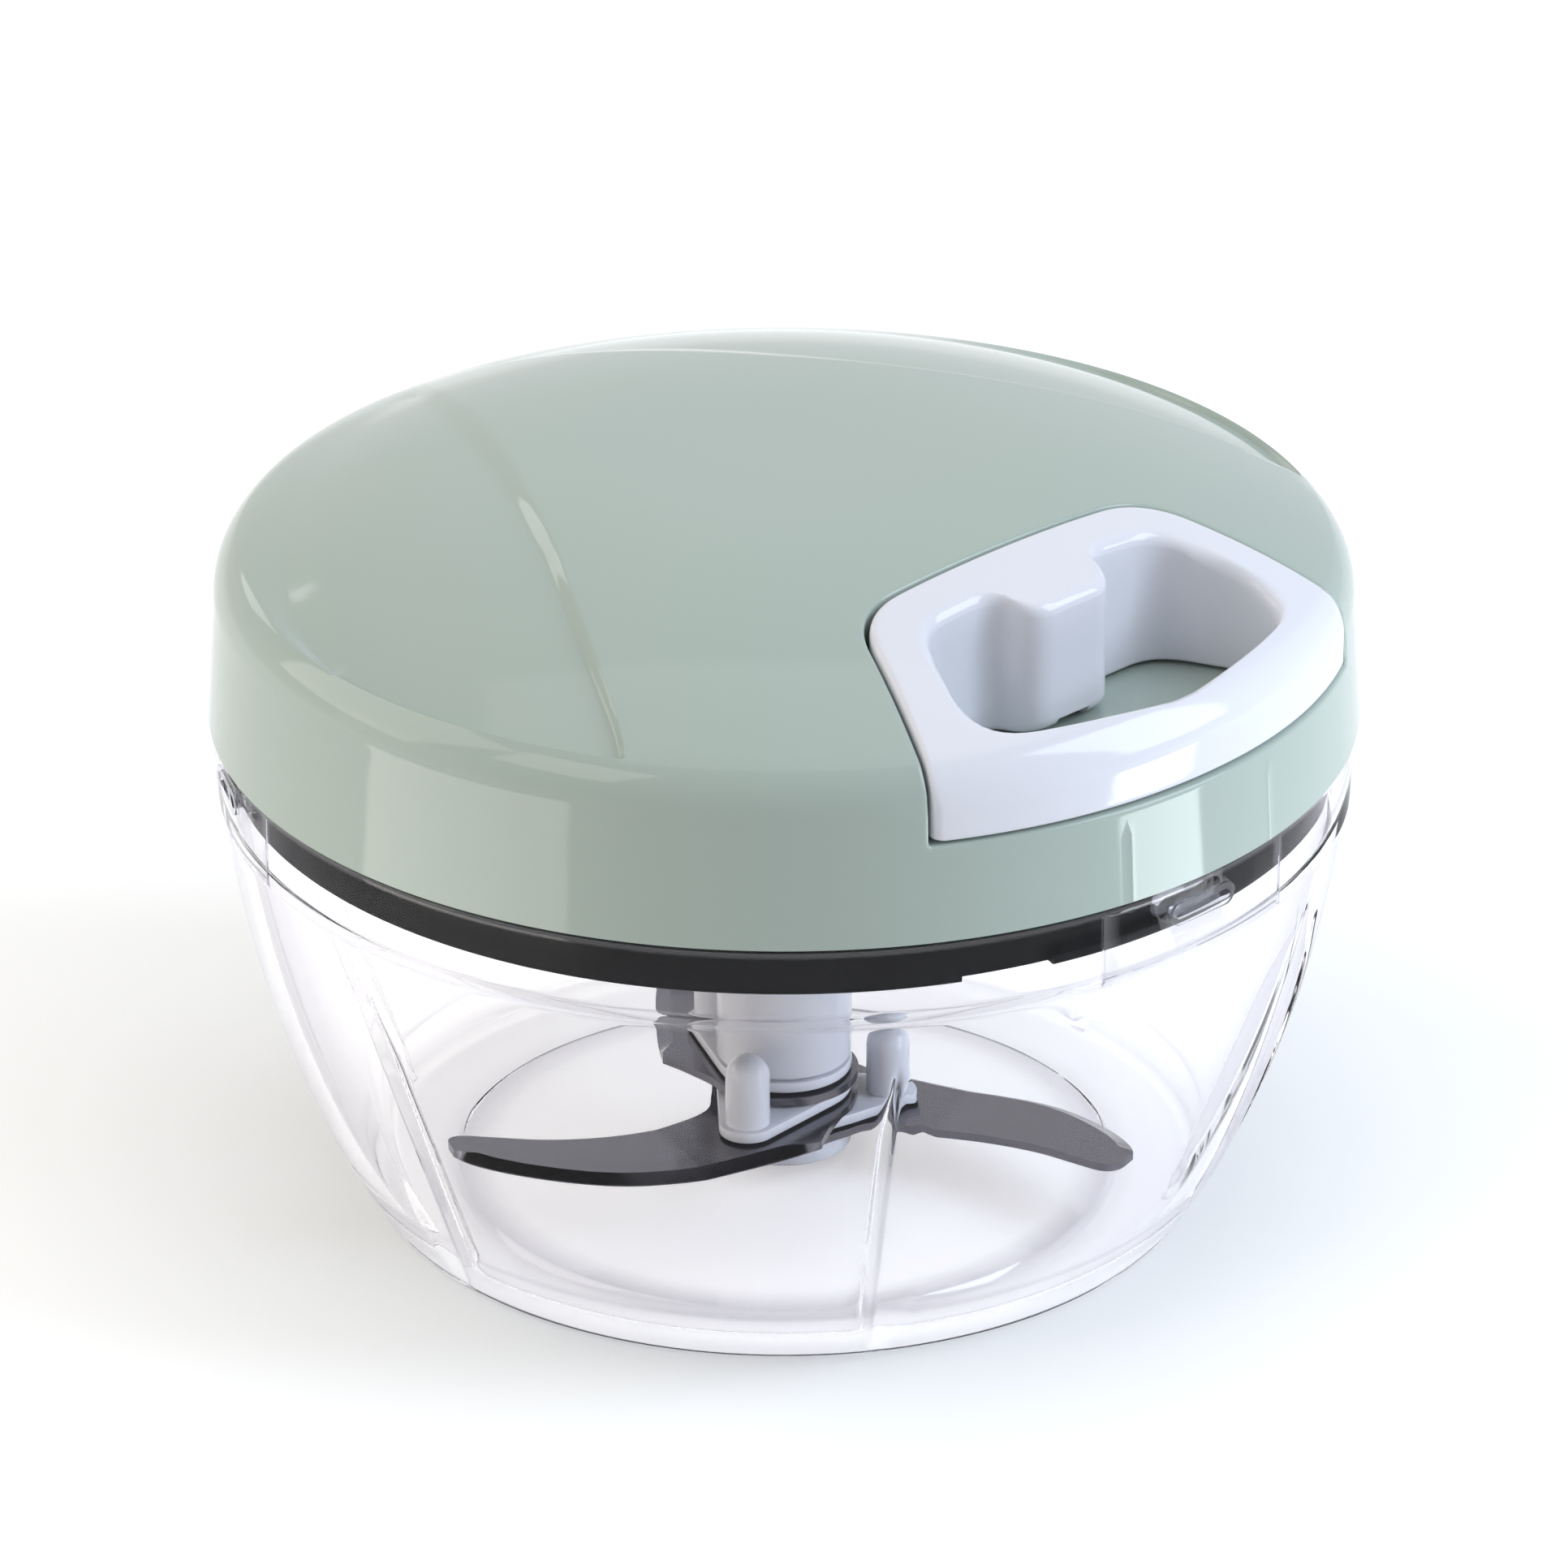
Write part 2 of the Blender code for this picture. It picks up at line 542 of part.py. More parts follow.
def make_bowl(material):
    """Bowl: a pleated shell with three hollow-backed bayonet lugs and a boss for the pivot."""
    bm = turned_bmesh(bowl_profile(), TURN_STEPS, closed=False)
    bmesh.ops.remove_doubles(bm, verts=bm.verts, dist=WELD_DISTANCE)
    fold_pleats(bm)
    bowl = add_object("bowl", bm, material)
    for index in range(LUG_COUNT):
        angle = index * 360.0 / LUG_COUNT
        middle = BOWL_RIM_INNER + BOWL_WALL / 2
        join(bowl, capsule_prism(
            f"bowl_lug_{index + 1}", LUG_HALF_WIDTH, LUG_HEIGHT / 2,
            BOWL_RIM_INNER - LUG_STAND_OUT, middle, angle,
        ))
        cut(bowl, capsule_prism(
            f"bowl_lug_core_{index + 1}", LUG_HALF_WIDTH - LUG_CORE_WALL,
            LUG_HEIGHT / 2 - LUG_CORE_WALL, BOWL_TOP_RADIUS - LUG_CORE_DEPTH,
            BOWL_TOP_RADIUS + CUT_OVERRUN, angle,
        ))
    boss_top = BOWL_FLOOR + PIVOT_BOSS_HEIGHT
    join(bowl, rod("bowl_pivot_boss", PIVOT_BOSS_RADIUS, BOWL_FLOOR - BOWL_WALL / 2, boss_top))
    cut(bowl, rod(
        "bowl_pivot_hole", PIVOT_PIN_RADIUS + SEAT_GAP,
        boss_top - PIVOT_PIN_DEPTH - SEAT_GAP, boss_top + CUT_OVERRUN, steps=TINY_STEPS,
    ))
    return bowl


def make_pivot_pin(material):
    """Steel pin with a domed top, pressed into the boss of the bowl."""
    bottom = BOWL_FLOOR + PIVOT_BOSS_HEIGHT - PIVOT_PIN_DEPTH
    top = bottom + PIVOT_PIN_LENGTH
    shoulder = top - PIVOT_PIN_RADIUS / 2
    profile = [
        (0.0, top), (PIVOT_PIN_RADIUS * math.sin(math.radians(45.0)), top - PIVOT_PIN_RADIUS / 6),
        (PIVOT_PIN_RADIUS, shoulder), (PIVOT_PIN_RADIUS, bottom), (0.0, bottom),
    ]
    return turned("bowl_pivot_pin", profile, TINY_STEPS, closed=False, material=material)


def shell_height(radius):
    """Height of the lid's outer surface at a radius, without the side facets."""
    if radius <= CROWN_RADIUS:
        return CROWN_EDGE_HEIGHT + CROWN_RISE * (1.0 - (radius / CROWN_RADIUS) ** CROWN_POWER)
    if radius <= SKIRT_TOP_RADIUS:
        share = (radius - CROWN_RADIUS) / (SKIRT_TOP_RADIUS - CROWN_RADIUS)
        roll = 1.0 - math.sqrt(max(1.0 - share, 0.0))
        fall = 2.0 * SHOULDER_LEAN_SHARE * roll * (1.0 - roll) + roll ** 2
        return CROWN_EDGE_HEIGHT - (CROWN_EDGE_HEIGHT - SKIRT_TOP_HEIGHT) * fall
    share = (radius - SKIRT_TOP_RADIUS) / (SKIRT_RADIUS - SKIRT_TOP_RADIUS)
    return SKIRT_TOP_HEIGHT - (SKIRT_TOP_HEIGHT - SKIRT_BOTTOM_HEIGHT) * min(share, 1.0)


def crease_radius(angle_deg):
    """Radius of the facet crease at an angle from the front, run on smoothly ahead of it."""
    angle = abs((angle_deg + 180.0) % 360.0 - 180.0)
    marks = [(0.0, PLAIN_RING_SHARE), *zip(CREASE_ANGLES_DEG, CREASE_RADIUS_SHARES)]
    for (first, near), (second, far) in zip(marks, marks[1:]):
        if angle <= second:
            share = (angle - first) / (second - first)
            return CROWN_RADIUS * (near + (far - near) * share)
    return CROWN_RADIUS * CREASE_RADIUS_SHARES[-1]


def crown_rings(angle_deg):
    """Radii and heights of the crown at an angle, from the middle out to its edge."""
    crease = crease_radius(angle_deg)
    angle = abs((angle_deg + 180.0) % 360.0 - 180.0)
    drop = 0.0
    band = FACET_BAND
    if angle >= CREASE_ANGLES_DEG[0]:
        share = (angle - CREASE_ANGLES_DEG[0]) / (180.0 - CREASE_ANGLES_DEG[0])
        drop = FACET_STEP * (1.0 - (1.0 - FACET_BACK_SHARE) * share)
        band += (FACET_BACK_BAND - FACET_BAND) * share
    if angle > FACET_SQUARE_DEG:
        drop *= min((CROWN_RADIUS - crease) / FACET_ROOM, 1.0)
    room = CROWN_RADIUS - crease
    band_end = crease + min(band, room / 3)
    lip = CROWN_RADIUS - min(FACET_LIP, room / 4)
    rings = [(crease * share, 0.0) for share in CROWN_RING_SHARES] + [
        (crease, 0.0), (band_end, drop), ((band_end + lip) / 2, drop), (lip, drop),
        (CROWN_RADIUS, 0.0),
    ]
    return [(radius, shell_height(radius) - fall) for radius, fall in rings]


def shoulder_profile():
    """Profile of the lid from the crown's edge down to the bottom of the skirt."""
    shares = (0.36, 0.68, 0.9)
    spread = SKIRT_TOP_RADIUS - CROWN_RADIUS
    radii = [CROWN_RADIUS + spread * share for share in shares]
    return [(radius, shell_height(radius)) for radius in radii] + [
        (SKIRT_TOP_RADIUS, SKIRT_TOP_HEIGHT), (SKIRT_RADIUS, SKIRT_BOTTOM_HEIGHT),
    ]


def make_cover_form():
    """Outer form of the lid cover as one solid, with its two side facets."""
    step_deg = 360.0 / TURN_STEPS
    corners = (FACET_START_DEG, CREASE_ANGLES_DEG[0])
    angles = [index * step_deg for index in range(TURN_STEPS)]
    angles = [angle for angle in angles if abs(abs(angle - 180.0) - 180.0 + corners[1]) > 1.0]
    angles += [*corners, *(360.0 - corner for corner in corners)]
    bm = bmesh.new()
    columns = []
    for angle in sorted(angles):
        points = crown_rings(angle) + shoulder_profile()
        columns.append([bm.verts.new(rim_point(radius, angle, z)) for radius, z in points])
    top = bm.verts.new((0.0, 0.0, shell_height(0.0)))
    bottom = bm.verts.new((0.0, 0.0, SKIRT_BOTTOM_HEIGHT))
    for here, there in zip(columns, columns[1:] + columns[:1]):
        bm.faces.new((top, here[0], there[0]))
        for row in range(len(here) - 1):
            bm.faces.new((here[row], here[row + 1], there[row + 1], there[row]))
        bm.faces.new((bottom, there[-1], here[-1]))
    return bm


def cavity_profile():
    """Profile of the hollow under the lid cover, from its middle out and down."""
    shares = (0.0, 0.35, 0.6, 0.78, 0.9)
    profile = [
        (CROWN_RADIUS * share, shell_height(CROWN_RADIUS * share) - CROWN_WALL) for share in shares
    ]
    inner = SKIRT_RADIUS - SKIRT_WALL
    corner = SKIRT_TOP_RADIUS - SKIRT_WALL
    profile += [
        (corner - SKIRT_WALL / 2, CROWN_EDGE_HEIGHT - CROWN_WALL - SKIRT_WALL / 2),
        (corner, SKIRT_TOP_HEIGHT - SKIRT_WALL / 2),
        (inner, SKIRT_BOTTOM_HEIGHT - CUT_OVERRUN), (0.0, SKIRT_BOTTOM_HEIGHT - CUT_OVERRUN),
    ]
    return profile


def bezier(start, corner, end, steps):
    """Points of a quadratic curve that rounds a corner."""
    points = []
    for index in range(steps + 1):
        share = index / steps
        points.append(
            start * (1.0 - share) ** 2 + corner * (2.0 * share * (1.0 - share)) + end * share ** 2
        )
    return points


def evenly(start, end, count):
    """Points between two others, without them."""
    return [start + (end - start) * index / (count + 1) for index in range(1, count + 1)]


def handle_outline(inset, front_radius, back_corner, front_corner):
    """Plan of the handle: a straight back, two sides that open out and a front on a circle.

    The loop runs from the left of the back to the right, then round the front. Every loop has
    the same count of points, so that two of them can be lofted.
    """
    side = math.radians(HANDLE_SIDE_DEG)
    back = HANDLE_BACK + inset
    half_back = HANDLE_HALF_BACK - inset / math.cos(side) + inset * math.tan(side)
    start = Vector((half_back, -back))
    run = Vector((math.sin(side), -math.cos(side)))
    along = -start.dot(run) + math.sqrt(start.dot(run) ** 2 - start.dot(start) + front_radius ** 2)
    front = start + run * along
    swing = front_corner / front_radius
    end_angle = math.atan2(front.x, -front.y)
    right = [start + run * back_corner]
    right += evenly(start + run * back_corner, front - run * front_corner, 4)

    def on_front(angle):
        return Vector((front_radius * math.sin(angle), -front_radius * math.cos(angle)))

    corner_back = bezier(start - Vector((back_corner, 0.0)), start, start + run * back_corner, 5)
    corner_front = bezier(front - run * front_corner, front, on_front(end_angle - swing), 4)
    half = corner_back[:-1] + right + corner_front
    front_count = 5
    angles = [(end_angle - swing) * (1.0 - step / front_count) for step in range(1, front_count)]
    half += [on_front(angle) for angle in angles]
    back_count = 7
    back_half = [
        Vector(((half_back - back_corner) * step / back_count, -back)) for step in range(1, back_count)
    ]
    right_side = back_half + half
    left_side = [Vector((-point.x, point.y)) for point in reversed(right_side)]
    return [Vector((0.0, -back))] + right_side + [on_front(0.0)] + left_side


def opening_outline():
    """Plan of the finger opening, with the cord boss standing into it from the back."""
    loop = handle_outline(
        HANDLE_BAR, HANDLE_FRONT_RADIUS - HANDLE_FRONT_BAR, OPENING_BACK_CORNER,
        OPENING_FRONT_CORNER,
    )
    back = -(HANDLE_BACK + HANDLE_BAR)
    bulged = []
    for point in loop:
        if abs(point.y - back) < WELD_DISTANCE and abs(point.x) < BOSS_HALF_WIDTH + BOSS_FLANK:
            beyond = max(abs(point.x) - BOSS_HALF_WIDTH, 0.0) / BOSS_FLANK
            rise = 0.5 + 0.5 * math.cos(math.pi * beyond)
            point = Vector((point.x, point.y - BOSS_DEPTH * rise))
        bulged.append(point)
    return bulged


def corner_drop(distance, radius):
    """How far a rounded edge lies below its corner at a distance from it."""
    if distance >= radius:
        return 0.0
    return radius - math.sqrt(radius ** 2 - (radius - distance) ** 2)


def make_handle(material):
    """Pull handle: a ring lofted between its outline and its opening, flush with the lid."""
    outer = handle_outline(0.0, HANDLE_FRONT_RADIUS, HANDLE_BACK_CORNER, HANDLE_FRONT_CORNER)
    inner = opening_outline()
    shares = (0.0, 0.07, 0.22, 0.4, 0.6, 0.78, 0.9, 0.965, 1.0)
    bm = bmesh.new()
    sections = []
    for near, far in zip(inner, outer):
        width = (far - near).length
        section = [bm.verts.new((near.x, near.y, HANDLE_BOTTOM_HEIGHT))]
        edge_height = shell_height(far.length) + HANDLE_PROUD - HANDLE_BOTTOM_HEIGHT
        outer_round = min(HANDLE_OUTER_ROUND, edge_height / 2)
        for share in shares:
            place = near + (far - near) * share
            height = shell_height(place.length) + HANDLE_PROUD
            height -= corner_drop(width * share, HANDLE_INNER_ROUND)
            height -= corner_drop(width * (1.0 - share), outer_round)
            section.append(bm.verts.new((place.x, place.y, height)))
        section.append(bm.verts.new((far.x, far.y, HANDLE_BOTTOM_HEIGHT)))
        sections.append(section)
    for here, there in zip(sections, sections[1:] + sections[:1]):
        for row in range(len(here)):
            after = (row + 1) % len(here)
            bm.faces.new((here[row], here[after], there[after], there[row]))
    handle = add_object("pull_handle", bm, material)
    front = HANDLE_BACK + HANDLE_BAR + BOSS_DEPTH
    chamber_back = front - BOSS_DEPTH + KNOT_CLEARANCE
    half = KNOT_RADIUS + KNOT_CLEARANCE
    chamber = [
        (-half, -chamber_back), (half, -chamber_back),
        (half, -chamber_back - 2 * half), (-half, -chamber_back - 2 * half),
    ]
    cut(
        handle,
        front_rod(
            "handle_cord_hole", CORD_RADIUS + CORD_BORE_CLEARANCE,
            HANDLE_BACK - CUT_OVERRUN, chamber_back + half, CORD_HEIGHT,
        ),
        add_object("handle_knot_chamber", prism_bmesh(
            chamber, HANDLE_BOTTOM_HEIGHT - CUT_OVERRUN, CORD_HEIGHT + half,
        )),
    )
    return handle


def knot_back():
    """Distance from the axis to the near side of the knot."""
    return HANDLE_BACK + HANDLE_BAR + KNOT_CLEARANCE + SEAT_GAP


def make_knot(material):
    """Knot of the cord, behind which the boss of the handle is caught."""
    bm = bmesh.new()
    bmesh.ops.create_uvsphere(bm, u_segments=TINY_STEPS, v_segments=8, radius=KNOT_RADIUS)
    place = (0.0, -(knot_back() + KNOT_RADIUS), CORD_HEIGHT)
    bmesh.ops.translate(bm, verts=bm.verts, vec=place)
    return add_object("cord_knot", bm, material)


def offset_outline(grow, front_radius):
    """Handle outline grown outwards and run out past the skirt."""
    return handle_outline(-grow, front_radius, HANDLE_BACK_CORNER, HANDLE_FRONT_CORNER)


def make_cover(material):
    """Lid cover: hollow shell with the handle's pocket, screw bosses and the axle boss."""
    cover = add_object("lid_cover", make_cover_form(), material)
    high = shell_height(0.0) + CUT_OVERRUN
    hollow = turned("cover_hollow", cavity_profile(), closed=False)
    pocket_block = add_object("cover_pocket_block", prism_bmesh(
        offset_outline(POCKET_GAP + POCKET_WALL, SKIRT_RADIUS + CUT_OVERRUN),
        POCKET_FLOOR_HEIGHT - POCKET_FLOOR, high,
    ))
    cut(hollow, pocket_block, rod("cover_axle_boss", REEL_TOP_RADIUS, COVER_BOSS_BOTTOM, high))
    for index, place in enumerate(screw_places()):
        cut(hollow, rod(
            f"cover_screw_boss_{index + 1}", SCREW_BOSS_RADIUS, screw_boss_bottom(), high,
            place, steps=TINY_STEPS,
        ))
    cut(cover, hollow)
    cut(cover, add_object("cover_pocket", prism_bmesh(
        offset_outline(POCKET_GAP, SKIRT_RADIUS + CUT_OVERRUN), POCKET_FLOOR_HEIGHT, high,
    )))
    wall_inside = HANDLE_BACK - POCKET_GAP - POCKET_WALL
    cut(cover, front_rod(
        "cover_guide_hole", guide_radius() + SEAT_GAP, wall_inside - CUT_OVERRUN,
        HANDLE_BACK + CUT_OVERRUN, CORD_HEIGHT,
    ))
    cut(cover, rod(
        "cover_axle_hole", AXLE_RADIUS + SEAT_GAP, COVER_BOSS_BOTTOM - CUT_OVERRUN,
        axle_top() + SEAT_GAP, steps=TINY_STEPS,
    ))
    for index, place in enumerate(screw_places()):
        cut(cover, rod(
            f"cover_screw_hole_{index + 1}", SCREW_SHANK_RADIUS + SEAT_GAP,
            screw_boss_bottom() - CUT_OVERRUN, screw_head_top() + SCREW_LENGTH + SEAT_GAP,
            place, steps=TINY_STEPS,
        ))
    return cover


def screw_places():
    """Places of the screws in plan, clear of the handle's pocket."""
    angles = [SCREW_FIRST_DEG + index * SCREW_SPACING_DEG for index in range(SCREW_COUNT)]
    return [rim_point(SCREW_CIRCLE_RADIUS, angle).to_2d() for angle in angles]


def screw_head_top():
    """Height of the seat under a screw's head, which faces down into the bowl."""
    return PLATE_BOTTOM + SCREW_HEAD_HEIGHT + SEAT_GAP


def screw_boss_bottom():
    """Height where a screw boss of the cover meets the pad of the base."""
    return PLATE_TOP + SCREW_PAD_HEIGHT + SEAT_GAP


def axle_top():
    """Height of the top of the reel's axle, inside the cover's boss."""
    return COVER_BOSS_BOTTOM + AXLE_DEPTH_IN_COVER


def guide_radius():
    """Outer radius of the cord guide."""
    return CORD_RADIUS + CORD_BORE_CLEARANCE + GUIDE_WALL


def sector_prism(name, inner, outer, bottom, top, first_deg, last_deg):
    """Prism over a piece of a ring between two angles from the front."""
    steps = max(2, round((last_deg - first_deg) / 2.5))
    angles = [first_deg + (last_deg - first_deg) * index / steps for index in range(steps + 1)]
    outline = [rim_point(outer, angle).to_2d() for angle in angles]
    outline += [rim_point(inner, angle).to_2d() for angle in reversed(angles)]
    return add_object(name, prism_bmesh(outline, bottom, top))


def make_base(material):
    """Lid base: plate with the bayonet collar, the groove for the seal and the spring's well."""
    groove_top = PLATE_BOTTOM
    groove_bottom = groove_top - SEAL_HEIGHT - 2 * SEAT_GAP
    groove_floor = COLLAR_RADIUS - SEAL_DEPTH - SEAT_GAP
    well_outer = SPRING_WELL_RADIUS + SPRING_WELL_WALL
    bore = SPINDLE_RADIUS + RUN_GAP
    flange = SKIRT_RADIUS - SKIRT_WALL - RUN_GAP
    profile = [
        (bore, PLATE_TOP), (SPRING_WELL_RADIUS, PLATE_TOP), (SPRING_WELL_RADIUS, SPRING_WELL_TOP),
        (well_outer, SPRING_WELL_TOP), (well_outer, PLATE_TOP), (flange, PLATE_TOP),
        (flange, PLATE_BOTTOM), (groove_floor, groove_top), (groove_floor, groove_bottom),
        (COLLAR_RADIUS, groove_bottom), (COLLAR_RADIUS, BASE_COLLAR_BOTTOM),
        (COLLAR_INNER, BASE_COLLAR_BOTTOM), (COLLAR_INNER, PLATE_BOTTOM), (bore, PLATE_BOTTOM),
    ]
    base = turned("lid_base", profile, material=material)
    for index, place in enumerate(screw_places()):
        join(base, rod(
            f"base_screw_pad_{index + 1}", SCREW_PAD_RADIUS, PLATE_BOTTOM + SEAT_GAP,
            PLATE_TOP + SCREW_PAD_HEIGHT, place, steps=TINY_STEPS,
        ))
        cut(
            base,
            rod(
                f"base_head_seat_{index + 1}", SCREW_HEAD_RADIUS + SEAT_GAP,
                PLATE_BOTTOM - CUT_OVERRUN, screw_head_top() + SEAT_GAP, place, steps=TINY_STEPS,
            ),
            rod(
                f"base_screw_hole_{index + 1}", SCREW_SHANK_RADIUS + SEAT_GAP,
                PLATE_BOTTOM, PLATE_TOP + SCREW_PAD_HEIGHT + CUT_OVERRUN, place, steps=TINY_STEPS,
            ),
        )
    lug_deg = math.degrees((LUG_HALF_WIDTH + RUN_GAP) / COLLAR_RADIUS)
    slot_floor = COLLAR_RADIUS - SLOT_DEPTH
    reach = COLLAR_RADIUS + CUT_OVERRUN
    low = LUG_MIDDLE_HEIGHT - LUG_HEIGHT / 2 - RUN_GAP
    high = LUG_MIDDLE_HEIGHT + LUG_HEIGHT / 2 + RUN_GAP
    for index in range(LUG_COUNT):
        angle = index * 360.0 / LUG_COUNT
        cut(
            base,
            sector_prism(
                f"base_slot_{index + 1}", slot_floor, reach, low, high,
                angle - TWIST_DEG - lug_deg, angle + lug_deg,
            ),
            sector_prism(
                f"base_slot_mouth_{index + 1}", slot_floor, reach,
                BASE_COLLAR_BOTTOM - CUT_OVERRUN, high,
                angle - TWIST_DEG - lug_deg, angle - TWIST_DEG + lug_deg,
            ),
        )
    return base


def make_seal(material):
    """Ring seal in the groove of the lid base, with a rounded lip towards the bowl."""
    top = PLATE_BOTTOM - SEAT_GAP
    bottom = top - SEAL_HEIGHT
    middle = (top + bottom) / 2
    inner = COLLAR_RADIUS - SEAL_DEPTH
    lip = COLLAR_RADIUS + RUN_GAP - SEAT_GAP
    profile = [
        (inner, top), (COLLAR_RADIUS - SEAT_GAP, top), (lip, middle),
        (COLLAR_RADIUS - SEAT_GAP, bottom), (inner, bottom),
    ]
    return turned("seal_ring", profile, material=material)


def make_spring_cover(material):
    """Disc that keeps the spring in its well."""
    bottom = SPRING_COVER_BOTTOM
    top = bottom + SPRING_COVER_THICKNESS
    inner = REEL_HUB_RADIUS + RUN_GAP
    outer = SPRING_WELL_RADIUS + SPRING_WELL_WALL
    profile = [(inner, top), (outer, top), (outer, bottom), (inner, bottom)]
    return turned("spring_cover", profile, REEL_STEPS, material=material)


def make_spring(material):
    """Flat spiral spring that winds the cord back on the reel."""
    first = REEL_HUB_RADIUS + SEAT_GAP + SPRING_THICKNESS
    last = SPRING_WELL_RADIUS - SEAT_GAP - SPRING_THICKNESS
    count = SPRING_TURN_COUNT * SPRING_TURN_POINTS
    bm = bmesh.new()
    bottom = PLATE_TOP + SEAT_GAP
    strip = []
    for index in range(count + 1):
        radius = first + (last - first) * index / count
        angle_deg = 360.0 * index / SPRING_TURN_POINTS
        strip.append([
            bm.verts.new(rim_point(radius + side * SPRING_THICKNESS / 2, angle_deg, height))
            for side, height in (
                (-1.0, bottom), (1.0, bottom), (1.0, bottom + SPRING_HEIGHT),
                (-1.0, bottom + SPRING_HEIGHT),
            )
        ])
    for here, there in zip(strip, strip[1:]):
        for row in range(4):
            after = (row + 1) % 4
            bm.faces.new((here[row], here[after], there[after], there[row]))
    bm.faces.new(strip[0])
    bm.faces.new(reversed(strip[-1]))
    return add_object("return_spring", bm, material)


def make_screw(index, place, material):
    """Pan-head screw, driven up from the underside of the lid."""
    seat = screw_head_top()
    head_bottom = seat - SCREW_HEAD_HEIGHT
    profile = [
        (0.0, seat + SCREW_LENGTH), (SCREW_SHANK_RADIUS / 2, seat + SCREW_LENGTH),
        (SCREW_SHANK_RADIUS, seat + SCREW_LENGTH - SCREW_SHANK_RADIUS), (SCREW_SHANK_RADIUS, seat),
        (SCREW_HEAD_RADIUS, seat), (SCREW_HEAD_RADIUS, head_bottom + SCREW_HEAD_HEIGHT / 3),
        (SCREW_HEAD_RADIUS - SCREW_HEAD_HEIGHT / 3, head_bottom), (0.0, head_bottom),
    ]
    bm = turned_bmesh(profile, TINY_STEPS, closed=False)
    bmesh.ops.translate(bm, verts=bm.verts, vec=(place.x, place.y, 0.0))
    return add_object(f"lid_screw_{index + 1}", bm, material)


def make_guide(material):
    """Flanged eyelet in the back wall of the pocket, through which the cord runs out."""
    bore = CORD_RADIUS + CORD_BORE_CLEARANCE
    back = HANDLE_BACK - POCKET_GAP - POCKET_WALL - SEAT_GAP
    front = HANDLE_BACK - POCKET_GAP - SEAT_GAP
    rear = back - GUIDE_FLANGE_THICKNESS
    profile = [
        (bore, front), (guide_radius(), front), (guide_radius(), back),
        (GUIDE_FLANGE_RADIUS, back), (GUIDE_FLANGE_RADIUS, rear),
        (bore + GUIDE_WALL, rear), (bore, back),
    ]
    bm = turned_bmesh(profile, TINY_STEPS, closed=True)
    bmesh.ops.rotate(bm, verts=bm.verts, matrix=Matrix.Rotation(math.radians(90.0), 3, "X"))
    bmesh.ops.translate(bm, verts=bm.verts, vec=(0.0, 0.0, CORD_HEIGHT))
    return add_object("cord_guide", bm, material)


def tube(name, points, radius, resolution, material):
    """Cord along points: a bevelled curve turned into a welded mesh."""
    curve = bpy.data.curves.new(name, "CURVE")
    curve.dimensions = "3D"
    curve.bevel_depth = radius
    curve.bevel_resolution = resolution
    curve.use_fill_caps = True
    spline = curve.splines.new("POLY")
    spline.points.add(len(points) - 1)
    for item, point in zip(spline.points, points):
        item.co = (*point, 1.0)
    obj = bpy.data.objects.new(name + "_path", curve)
    bpy.data.collections[CUTTERS_NAME].objects.link(obj)
    return add_object(name, evaluated_bmesh(obj), material)


def winding_last_radius():
    """Radius of the cord's outermost turn on the reel."""
    return CORD_FIRST_RADIUS + CORD_PITCH * CORD_TURN_COUNT


def lead_start():
    """Point where the cord leaves the reel, just outside its turning winding."""
    guide = Vector((0.0, -guide_rear()))
    radius = winding_last_radius()
    swing = math.acos(radius / guide.length)
    touch = rim_point(radius, -math.degrees(swing)).to_2d()
    run = (guide - touch).normalized()
    clear = radius + 2 * CORD_RADIUS + SEAT_GAP
    return touch + run * math.sqrt(clear ** 2 - radius ** 2)


def guide_rear():
    """Distance from the axis to the rear of the cord guide."""
    back = HANDLE_BACK - POCKET_GAP - POCKET_WALL - SEAT_GAP
    return back - GUIDE_FLANGE_THICKNESS - 2 * SEAT_GAP


def make_winding(material):
    """Cord wound on the reel as one flat spiral; prints the least gap between its turns."""
    count = CORD_TURN_COUNT * CORD_TURN_POINTS
    last = lead_start()
    last_deg = math.degrees(math.atan2(last.x, -last.y))
    points = []
    for index in range(count + 1):
        turns = index / CORD_TURN_POINTS
        radius = CORD_FIRST_RADIUS + CORD_PITCH * turns
        points.append(rim_point(radius, last_deg + 360.0 * (turns - CORD_TURN_COUNT), CORD_HEIGHT))
    gap = min(
        (points[index + CORD_TURN_POINTS] - points[index]).length
        for index in range(count + 1 - CORD_TURN_POINTS)
    ) - 2 * CORD_RADIUS
    print(f"cord winding: least gap between turns {gap / MM:.2f} mm")
    return tube("cord_winding", points, CORD_RADIUS, 1, material)


def make_lead(material):
    """Stretch of cord from the reel to the guide."""
    start = lead_start()
    end = Vector((0.0, -guide_rear()))
    bend = Vector((0.0, start.y + (end.y - start.y) * LEAD_BEND_SHARE))
    points = [(point.x, point.y, CORD_HEIGHT) for point in bezier(start, bend, end, 5)]
    return tube("cord_lead", points, CORD_RADIUS, 1, material)


def make_pull_cord(material):
    """Stretch of cord from the guide to the knot, which is drawn out with the handle."""
    start = guide_rear() + SEAT_GAP
    end = knot_back() - SEAT_GAP
    count = 4
    points = [(0.0, -(start + (end - start) * step / count), CORD_HEIGHT) for step in range(count + 1)]
    return tube("pull_cord", points, CORD_RADIUS, 1, material)


